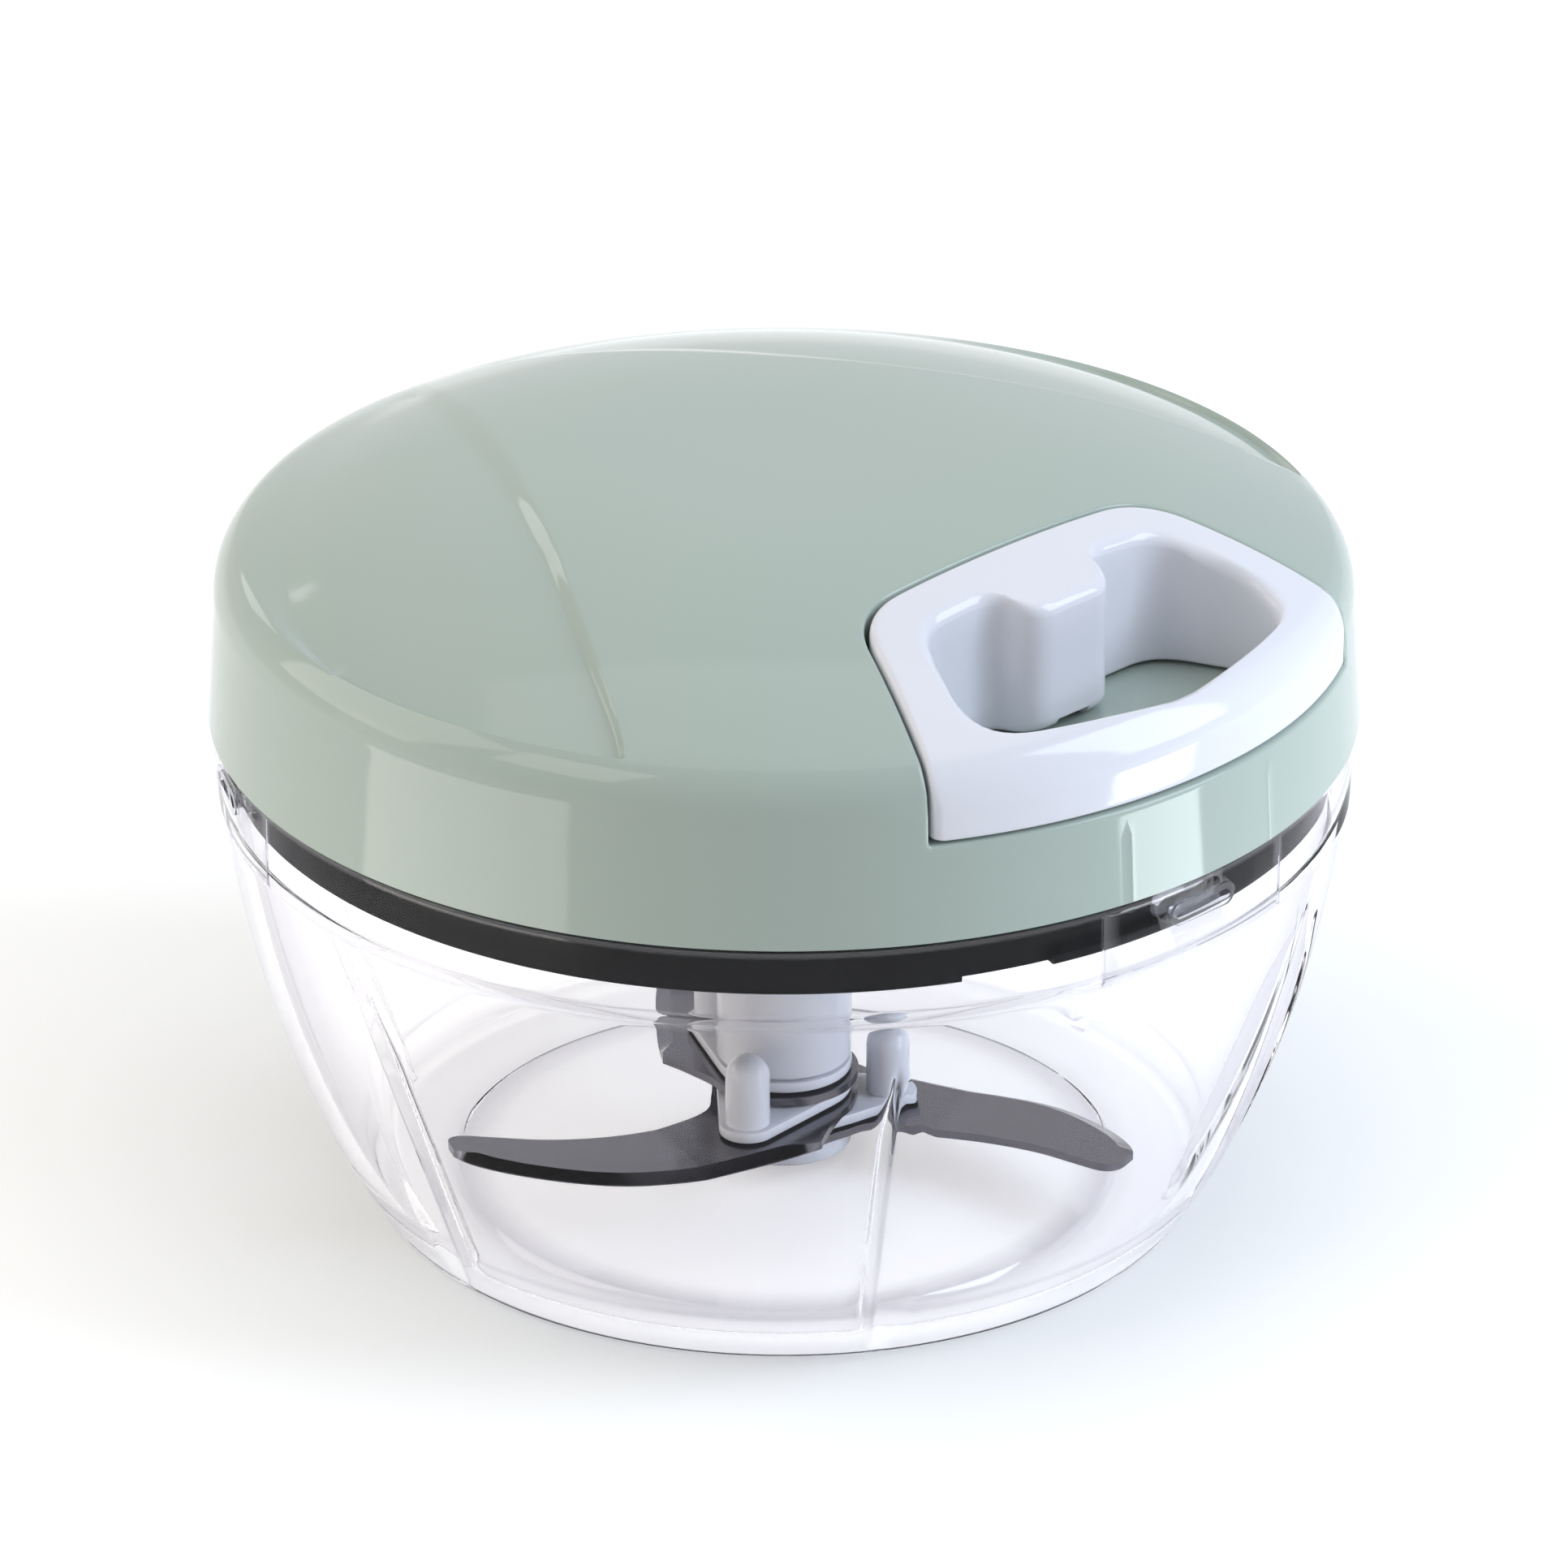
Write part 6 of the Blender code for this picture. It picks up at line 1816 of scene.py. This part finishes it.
    def row(self, radius: float, height: float, wall: float) -> list[Vector]:
        """One level of a sixth of the bowl, with the pleat in its middle.

        Args:
            radius: Radius of the level.
            height: Its height.
            wall: Its distance inside the outer wall.

        Returns:
            Points round the level, from one side of the sixth to the other.
        """
        half_arc = math.pi / self.pleat_count
        depth = 0.0
        if height < self.apex_height:
            depth = max(self.outer(height) - self.valley(height), 0.0)
        left, right, shift, inward = self.fold(depth, wall)
        right += self.pleat_foot_spread * max(1.0 - height / self.apex_height, 0.0)
        drop = 0.0
        if depth > 0.0 and radius >= self.base_radius - self.foot_corner - self.foot_ring + WELD:
            drop = radius - min(radius, self.valley(height) - inward)
        limit = half_arc * radius * 0.8
        edge = half_arc * radius
        deep = wall * min(drop / self.blend_depth, 1.0)
        valley = Vector((shift if drop > 0.0 else 0.0, drop))
        sides = []
        for width, sign in ((min(left, limit), -1.0), (min(right, limit), 1.0)):
            lip = Vector((sign * width, 0.0))
            face = lip - valley
            run = face.normalized()
            soft = min(self.lip_round + 0.5 * deep, face.length * 0.4)
            near = valley + run * min(self.fold_round + 0.4 * deep, face.length * 0.35)
            plain = lip + Vector((sign * max(min(soft, (edge - width) * 0.5), 0.0), 0.0))
            sides.append((plain, lip, lip - run * soft, near))
        (plain_a, lip_a, high_a, near_a), (plain_b, lip_b, high_b, near_b) = sides
        start, end = Vector((-edge, 0.0)), Vector((edge, 0.0))
        points = [start.lerp(plain_a, step / 14) for step in range(14)]
        points += fillet(plain_a, lip_a, high_a, 5)[:-1]
        points += [high_a.lerp(near_a, step / 4) for step in range(4)]
        points += fillet(near_a, valley, near_b, 6)[:-1]
        points += [near_b.lerp(high_b, step / 6) for step in range(6)]
        points += fillet(high_b, lip_b, plain_b, 5)[:-1]
        points += [plain_b.lerp(end, step / 12) for step in range(13)]
        centre = self.pleat_first_deg
        return [
            round_axis(radius - point.y, centre + math.degrees(point.x / max(radius, 1e-6)), height)
            for point in points
        ]

    def sixth(self) -> Piece:
        """Build a sixth of the bowl as an open strip."""
        bm = bmesh.new()
        rows = []
        for radius, height, wall in self.levels():
            points = self.row(radius, height, wall) if radius else [Vector((0.0, 0.0, height))]
            rows.append([bm.verts.new(point) for point in points])
        for here, there in zip(rows, rows[1:]):
            count = max(len(here), len(there))
            here, there = (row * count if len(row) == 1 else row for row in (here, there))
            for index in range(count - 1):
                ring = (here[index], here[index + 1], there[index + 1], there[index])
                bm.faces.new(list(dict.fromkeys(ring)))
        return new_object("bowl_shell", bm, recalculate=False)

    def capsule(
        self, half: float, half_height: float, inner: float, outer: float
    ) -> Mesh:
        """Prism with round ends that points outwards at the front."""
        straight = half - half_height
        outline = []
        for side in (1.0, -1.0):
            for step in range(17):
                angle = math.pi / 2 - math.pi * step / 16
                outline.append((
                    side * (straight + half_height * math.cos(angle)),
                    side * half_height * math.sin(angle),
                ))
        bm = prism(outline, inner, outer)
        bmesh.ops.rotate(bm, verts=bm.verts, matrix=Matrix.Rotation(math.radians(90.0), 3, "X"))
        bmesh.ops.translate(bm, verts=bm.verts, vec=(0.0, 0.0, Lug.middle))
        return bm

    def lugs(self) -> Piece:
        """Bodies of the bayonet lugs with the mould's marks beside them, round the rim."""
        top = self.top_radius
        lug = self.capsule(
            Lug.half, Lug.height / 2, top - self.wall - self.lug_stand,
            top + self.lug_rim,
        )
        inner, outer = top - self.mark_depth, top + self.mark_stand
        half_deg = math.degrees(self.mark_width / 2 / top)
        for centre in (-self.mark_deg, self.mark_deg):
            corners = [
                round_axis(inner, centre - 2 * half_deg), round_axis(outer, centre - half_deg),
                round_axis(outer, centre + half_deg), round_axis(inner, centre + 2 * half_deg),
            ]
            outline = [tuple(point.to_2d()) for point in corners]
            gather(lug, prism(
                outline, self.band_height + self.mark_room, self.rim_height - self.mark_room,
            ))
        return RingArray(Lug.count).apply(new_object("bowl_lugs", lug))

    def build(self) -> None:
        """Build the bowl and keep its pin."""
        bowl = RingArray(self.pleat_count).apply(self.sixth())
        bm = bmesh.new()
        bm.from_mesh(bowl.data)
        bmesh.ops.remove_doubles(bm, verts=bm.verts, dist=WELD)
        bmesh.ops.recalc_face_normals(bm, faces=bm.faces)
        bm.to_mesh(bowl.data)
        bm.free()
        step = sector(
            self.top_radius - self.band_step, self.top_radius + self.wall,
            self.band_height - self.insert_rise, self.band_height + self.insert_rise,
            -self.mark_deg, self.mark_deg,
        )
        repeat = RingArray(Lug.count)
        boolean(bowl, repeat.apply(new_object("insert_step", step)))
        boolean(bowl, self.lugs(), "UNION")
        core = self.capsule(
            Lug.half - self.lug_core_wall, Lug.height / 2 - self.lug_core_wall,
            self.top_radius - self.lug_core, self.top_radius + OVERRUN,
        )
        boolean(bowl, repeat.apply(new_object("lug_cores", core)))
        # This mark lays painted shade along the bowl's folds and steps in its clear finish.
        mark_edges(bowl, "fold_shade_mark", 10.0, 30.0)
        self.dresser.dress(bowl, Material.CLEAR, "bowl", "bowl", 40.0)
        self.dresser.keep(Material.STEEL, ("bowl_pivot_pin",))


@dataclass
class BladeUnit:
    """Blade unit: the column, the blades and the seats with their posts."""

    dresser: Dresser
    shaft_radius: float = 0.00735
    shaft_top_radius: float = 0.00725
    shaft_top: float = 0.0546
    shoulder: float = 0.0135
    core_radius: float = 0.0052
    core_bottom: float = 0.0030
    recess_radius: float = 0.0036
    recess_top: float = 0.0054
    pin_bore: float = 0.0018
    pin_top: float = 0.0148
    socket_radius: float = 0.004746
    socket_bottom: float = 0.0468
    hub_bottom: float = 0.0031
    hub_height: float = 0.0020
    bore_below: float = 0.001
    blade_bore: float = 0.002
    seat_bore: float = 0.003
    seat_round: float = 0.0002
    blade_thickness: float = 0.0009
    seat_thickness: float = 0.0012
    edge_land: float = 0.00012
    grind: float = 0.0016
    reach: float = 0.0404
    fold_share: float = 0.42
    tip_rise: float = 0.0030
    tip_degrees: Floats = (22.2, -105.1, 138.5)
    post_degrees: Floats = (55.2, -64.8, 175.2)
    post_radius: float = 0.0024
    post_circle: float = 0.0115
    post_height: float = 0.0079
    petal_radius: float = 0.0031
    leading: tuple[PlanPoint, ...] = (
        (1.0, 0.0), (0.975, 0.06), (0.9, 0.14), (0.78, 0.225), (0.65, 0.287), (0.5, 0.318),
        (0.34, 0.328), (0.18, 0.33), (0.07, 0.322),
    )
    trailing: tuple[PlanPoint, ...] = (
        (0.02, 0.27), (-0.06, 0.2), (-0.12, 0.16), (-0.19, 0.06), (-0.19, -0.06), (-0.12, -0.16),
        (0.0, -0.2), (0.12, -0.16), (0.19, -0.06), (0.25, 0.015), (0.38, 0.042), (0.55, 0.042),
        (0.72, 0.01), (0.86, -0.045), (0.94, -0.075), (0.985, -0.06),
    )

    def build(self) -> None:
        """Build every piece of the unit, from the lowest up."""
        self.shaft()
        self.hub()
        first = self.hub_bottom + self.hub_height + FIT
        pitch = self.blade_thickness + self.seat_thickness + 2 * FIT
        for index, (tip_deg, post_deg) in enumerate(zip(self.tip_degrees, self.post_degrees)):
            bottom = first + index * pitch
            self.blade(index + 1, bottom, tip_deg)
            self.seat(index + 1, bottom + self.blade_thickness + FIT, post_deg)

    def shaft(self) -> None:
        """Build the column with its core, the recess of the boss and the drive socket."""
        bore, recess, core = self.pin_bore, self.recess_radius, self.core_radius
        path = [
            (0.0, self.pin_top), (bore, self.pin_top), (bore, self.recess_top),
            (recess, self.recess_top), (recess, self.core_bottom), (core, self.core_bottom),
            (core, self.shoulder), (self.shaft_radius, self.shoulder),
            (self.shaft_top_radius, self.shaft_top), (0.0, self.shaft_top),
        ]
        radii = [0, 0, 0, 0, 0.0003, 0.0003, 0, 0.0004, 0.0006, 0]
        shaft = new_object("blade_column", turned(rounded(path, radii, 4), 96, False))
        socket = rod(self.socket_radius, self.socket_bottom, self.shaft_top + OVERRUN, steps=6)
        boolean(shaft, new_object("drive_socket", socket))
        self.dresser.dress(shaft, Material.WHITE, "blade_shaft", "blade_unit")

    def ring_bore(self, bottom: float, top: float) -> Piece:
        """Cutter for the hole that takes the core."""
        return new_object("core_bore", rod(self.core_radius + FIT, bottom, top, steps=64))

    def hub(self) -> None:
        """Build the foot ring under the lowest blade."""
        low, high = self.hub_bottom, self.hub_bottom + self.hub_height
        inner = self.core_radius + FIT
        outer = self.shaft_radius
        path = [(inner, low), (outer, low), (outer, high), (inner, high), (inner, low)]
        ring = turned(rounded(path, [0, 0.0004, 0.0002, 0, 0], 4), 96, False)
        hub = new_object("hub_foot_ring", ring)
        self.dresser.dress(hub, Material.WHITE, "hub_foot", "blade_unit")

    def outline(self) -> tuple[list[Vector], int]:
        """Smooth outline of a blade.

        Returns:
            Points in the blade's own plan, tip towards X, and the count on the leading edge.
        """
        marks = [Vector(point) * self.reach for point in (*self.leading, *self.trailing)]
        last = len(self.leading) - 1
        corners = {0, last}
        points: list[Vector] = []
        steps = 6
        total = len(marks)
        for index, here in enumerate(marks):
            after = (index + 1) % total
            there = marks[after]
            before = here * 2 - there if index in corners else marks[index - 1]
            beyond = there * 2 - here if after in corners else marks[(index + 2) % total]
            for step in range(steps):
                share = step / steps
                points.append(0.5 * (
                    2 * here + (there - before) * share
                    + (2 * before - 5 * here + 4 * there - beyond) * share**2
                    + (3 * here - before - 3 * there + beyond) * share**3
                ))
        return points, last * steps

    def blade(self, number: int, bottom: float, tip_deg: float) -> None:
        """Build a curved blade with a ground leading edge, bent up towards its tip."""
        outline, lead = self.outline()
        bm = bmesh.new()
        rings = []
        for height in (0.0, self.edge_land, self.blade_thickness):
            ring = []
            for index, point in enumerate(outline):
                if height == self.blade_thickness and 0 < index < lead:
                    along = (outline[(index + 1) % len(outline)] - outline[index - 1]).normalized()
                    ends = min(index, lead - index) / 6.0
                    point = point + Vector((-along.y, along.x)) * self.grind * smooth_share(ends)
                ring.append(bm.verts.new((point.x, point.y, bottom + height)))
            rings.append(ring)
        bm.faces.new(rings[0])
        bm.faces.new(rings[2])
        for low, high in zip(rings, rings[1:]):
            bridge(bm, low, high)
        fold = self.reach * self.fold_share
        for place in (fold, *spaced(fold, self.reach, 14)[:-1]):
            bmesh.ops.bisect_plane(
                bm, geom=bm.verts[:] + bm.edges[:] + bm.faces[:], dist=1e-7,
                plane_co=(place, 0.0, 0.0), plane_no=(1.0, 0.0, 0.0),
            )
        for vert in bm.verts:
            beyond = max(vert.co.x - fold, 0.0) / (self.reach - fold)
            vert.co.z += self.tip_rise * (0.75 * beyond + 0.25 * beyond**2)
        turn = Matrix.Rotation(math.radians(tip_deg - 90.0), 4, "Z")
        bmesh.ops.transform(bm, verts=bm.verts, matrix=turn)
        blade = new_object(f"blade_{number}_ground", bm)
        boolean(blade, self.ring_bore(bottom - self.bore_below, bottom + self.blade_bore))
        self.dresser.dress(blade, Material.STEEL, f"blade_{number}", "blade_unit", 20.0)

    def seat(self, number: int, bottom: float, post_deg: float) -> None:
        """Build a seat: a petal-shaped plate with a round-topped post."""
        disc, petal = self.shaft_radius, self.petal_radius
        span = math.acos((disc - petal) / self.post_circle)
        wide = [span, *spaced(span, 2 * math.pi - span, 60)]
        tight = [-span, *spaced(-span, span, 24)]
        outline = [(disc * math.cos(a), disc * math.sin(a)) for a in wide]
        outline += [
            (self.post_circle + petal * math.cos(a), petal * math.sin(a)) for a in tight
        ]
        turn = Matrix.Rotation(math.radians(post_deg - 90.0), 4, "Z")
        plate = prism(outline, bottom, bottom + self.seat_thickness)
        bmesh.ops.remove_doubles(plate, verts=plate.verts, dist=WELD)
        rim = [edge for edge in plate.edges if edge.calc_face_angle(0.0) > 1.0]
        bmesh.ops.bevel(
            plate, geom=rim, offset=self.seat_round, segments=2, affect="EDGES", profile=0.5
        )
        bmesh.ops.transform(plate, verts=plate.verts, matrix=turn)
        seat = new_object(f"blade_seat_{number}_plate", plate)
        root = bottom + self.seat_thickness
        radius = self.post_radius
        foot = bottom + FIT
        path = [
            (radius * math.sin(a), root + self.post_height - radius * (1 - math.cos(a)))
            for a in quarter(10)
        ]
        path += [(radius, root + 2 * self.seat_round), (radius, foot), (0.0, foot)]
        post = turned(path, 40, False)
        bmesh.ops.translate(post, verts=post.verts, vec=turn @ Vector((self.post_circle, 0.0, 0.0)))
        boolean(seat, new_object("seat_post", post), "UNION")
        boolean(seat, self.ring_bore(bottom - self.bore_below, bottom + self.seat_bore))
        self.dresser.dress(seat, Material.WHITE, f"blade_seat_{number}", "blade_unit")


@dataclass(frozen=True)
class SoftBox:
    """Soft box of the studio, placed by its angle to the right of the camera."""

    name: str
    turn_deg: float
    radius: float
    height: float
    width: float
    length: float
    power: float
    colour: Colour = (1.0, 1.0, 1.0)

    def hang(self, azimuth_deg: float) -> None:
        """Hang it, looking at the chopper and unseen by the camera."""
        data = bpy.data.lights.new(self.name, "AREA")
        data.shape = "RECTANGLE"
        data.size, data.size_y = self.width, self.length
        data.energy, data.color = self.power, self.colour
        lamp = bpy.data.objects.new(self.name, data)
        lamp.location = round_axis(self.radius, azimuth_deg + self.turn_deg, self.height)
        lamp.rotation_mode = "QUATERNION"
        aim = Vector((0.0, 0.0, BOX_AIM)) - lamp.location
        lamp.rotation_quaternion = aim.to_track_quat("-Z", "Y")
        lamp.visible_camera = False
        bpy.context.scene.collection.objects.link(lamp)


@dataclass
class Studio:
    """Pale floor, soft lights and the camera of the product view."""

    azimuth_deg: float = -45.0
    elevation_deg: float = 24.74
    camera_distance: float = 0.915
    aim_height: float = 0.0453
    lens: float = 198.0
    floor_size: float = 6.0
    floor_gap: float = 0.0001
    haze_start: float = 0.07
    haze_end: float = 1.0
    world_colour: Colour = (0.96, 0.97, 1.0)
    centre_height: float = 0.0557
    floor_colour: Colour = (0.97, 0.97, 0.975)
    bounce_colour: Colour = (0.72, 0.72, 0.725)
    floor_glow: float = 0.21
    # Painted light: extra glow of the floor seen through the bowl, which lifts the shade under it.
    painted_glow_through_bowl: float = 0.48
    far_glow: float = 0.45
    surround: float = 0.42
    boxes: tuple[SoftBox, ...] = (
        SoftBox("overhead_box", 180.0, 0.1, 1.0, 0.8, 0.8, 1.1),
        SoftBox("back_left_box", -142.0, 0.8, 0.41, 0.19, 0.19, 0.18),
        SoftBox("left_box", -95.0, 0.7, 0.5, 0.6, 0.6, 2.1, (1.0, 0.95, 0.8)),
        SoftBox("left_front_box", -48.0, 0.65, 0.65, 0.35, 0.35, 0.8, (1.0, 0.96, 0.88)),
        SoftBox("left_low_box", -78.0, 0.75, 0.2, 0.4, 0.3, 0.15, (1.0, 0.94, 0.8)),
        SoftBox("right_box", 80.0, 0.7, 0.5, 0.4, 0.6, 4.7, (0.73, 0.85, 1.0)),
        SoftBox("left_card", -55.0, 0.165, 0.021, 0.12, 0.036, 0.034, (1.0, 0.95, 0.88)),
        SoftBox("right_card", 64.0, 0.15, 0.022, 0.045, 0.03, 0.034, (0.9, 0.96, 1.0)),
    )

    def build(self) -> None:
        """Build the whole studio."""
        self.floor()
        self.world()
        for box in self.boxes:
            box.hang(self.azimuth_deg)
        self.camera()
        bpy.context.scene.view_settings.view_transform = "Standard"

    def sight(self, graph: Graph) -> tuple[Value, Value]:
        """Tell what the camera sees, straight, mirrored or through, from what lights the chopper.

        Args:
            graph: Node tree to work in.

        Returns:
            Whether the ray shows the studio to the camera, and whether it does so through the bowl.
        """
        path = graph.tree.nodes.new("ShaderNodeLightPath")
        camera, through, glossy, bounced = (
            Value(graph, path.outputs[name])
            for name in ("Is Camera Ray", "Is Transmission Ray", "Is Glossy Ray", "Diffuse Depth")
        )
        straight = 1.0 - bounced.at_most(1.0)
        return camera.at_least(through).at_least(glossy) * straight, through * straight

    def floor(self) -> None:
        """Lay a wide pale floor that keeps the soft shadow and runs to white in the picture."""
        bm = bmesh.new()
        bmesh.ops.create_grid(bm, x_segments=1, y_segments=1, size=self.floor_size / 2)
        bmesh.ops.translate(bm, verts=bm.verts, vec=(0.0, 0.0, -self.floor_gap))
        floor = new_object("studio_floor", bm, recalculate=False)
        finish = Finish("pale_floor")
        graph = finish.graph
        seen, through = self.sight(graph)
        finish.set(
            base_color=finish.mix(seen, self.bounce_colour, self.floor_colour),
            roughness=0.9, specular_ior_level=0.0,
        )
        away = graph.node(
            "ShaderNodeVectorMath", {"operation": "LENGTH"}, {0: finish.place()}, "Value",
        )
        haze = graph.node("ShaderNodeMapRange", None, {
            "Value": away, "From Min": self.haze_start, "From Max": self.haze_end,
            "To Max": self.far_glow,
        })
        # Seen through the bowl, the floor gets painted light on top, which lifts its shadow there.
        strength = seen * (haze + self.floor_glow) + through * self.painted_glow_through_bowl
        glow = graph.node(
            "ShaderNodeEmission", None, {"Color": (1.0, 1.0, 1.0, 1.0), "Strength": strength},
        )
        finish.cover("ShaderNodeAddShader", {1: glow}, 0)
        floor.data.materials.append(finish.material)

    def world(self) -> None:
        """Give an even, faintly cool surround."""
        world = bpy.data.worlds.new("studio_surround")
        world.use_nodes = True
        bpy.context.scene.world = world
        graph = Graph(world.node_tree)
        shader = world.node_tree.nodes["Background"]
        shader.inputs["Color"].default_value = (*self.world_colour, 1.0)
        seen, _ = self.sight(graph)
        graph.feed(shader.inputs["Strength"], seen * (1.0 - self.surround) + self.surround)

    def camera(self) -> None:
        """Place the camera at the product view's angle."""
        data = bpy.data.cameras.new("product_view")
        data.lens = self.lens
        data.sensor_width = 36.0
        data.clip_start, data.clip_end = 0.05, 20.0
        camera = bpy.data.objects.new("product_view", data)
        tilt = math.radians(self.elevation_deg)
        centre = Vector((0.0, 0.0, self.centre_height))
        flat = round_axis(self.camera_distance * math.cos(tilt), self.azimuth_deg)
        up = Vector((0.0, 0.0, self.camera_distance * math.sin(tilt)))
        camera.location = centre + flat + up
        aim = Vector((0.0, 0.0, self.aim_height))
        camera.rotation_mode = "QUATERNION"
        camera.rotation_quaternion = (aim - camera.location).to_track_quat("-Z", "Y")
        bpy.context.scene.collection.objects.link(camera)
        bpy.context.scene.camera = camera


def main() -> None:
    """Load the frame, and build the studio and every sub-assembly."""
    logging.basicConfig(level=logging.INFO, format="%(name)s: %(message)s")
    for thing in list(bpy.data.objects):
        bpy.data.objects.remove(thing)
    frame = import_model()
    Studio().build()
    dresser = Dresser(frame, FinishShelf())
    form = LidForm()
    plan = HandlePlan()
    maker = CordMaker(dresser)
    builders: list[Callable[[], None]] = [
        Lid(dresser, form, plan).build, maker.build, Handle(dresser, form, plan, maker).build,
        Bowl(dresser).build, BladeUnit(dresser).build,
    ]
    for build in builders:
        build()


if __name__ == "__main__":
    main()
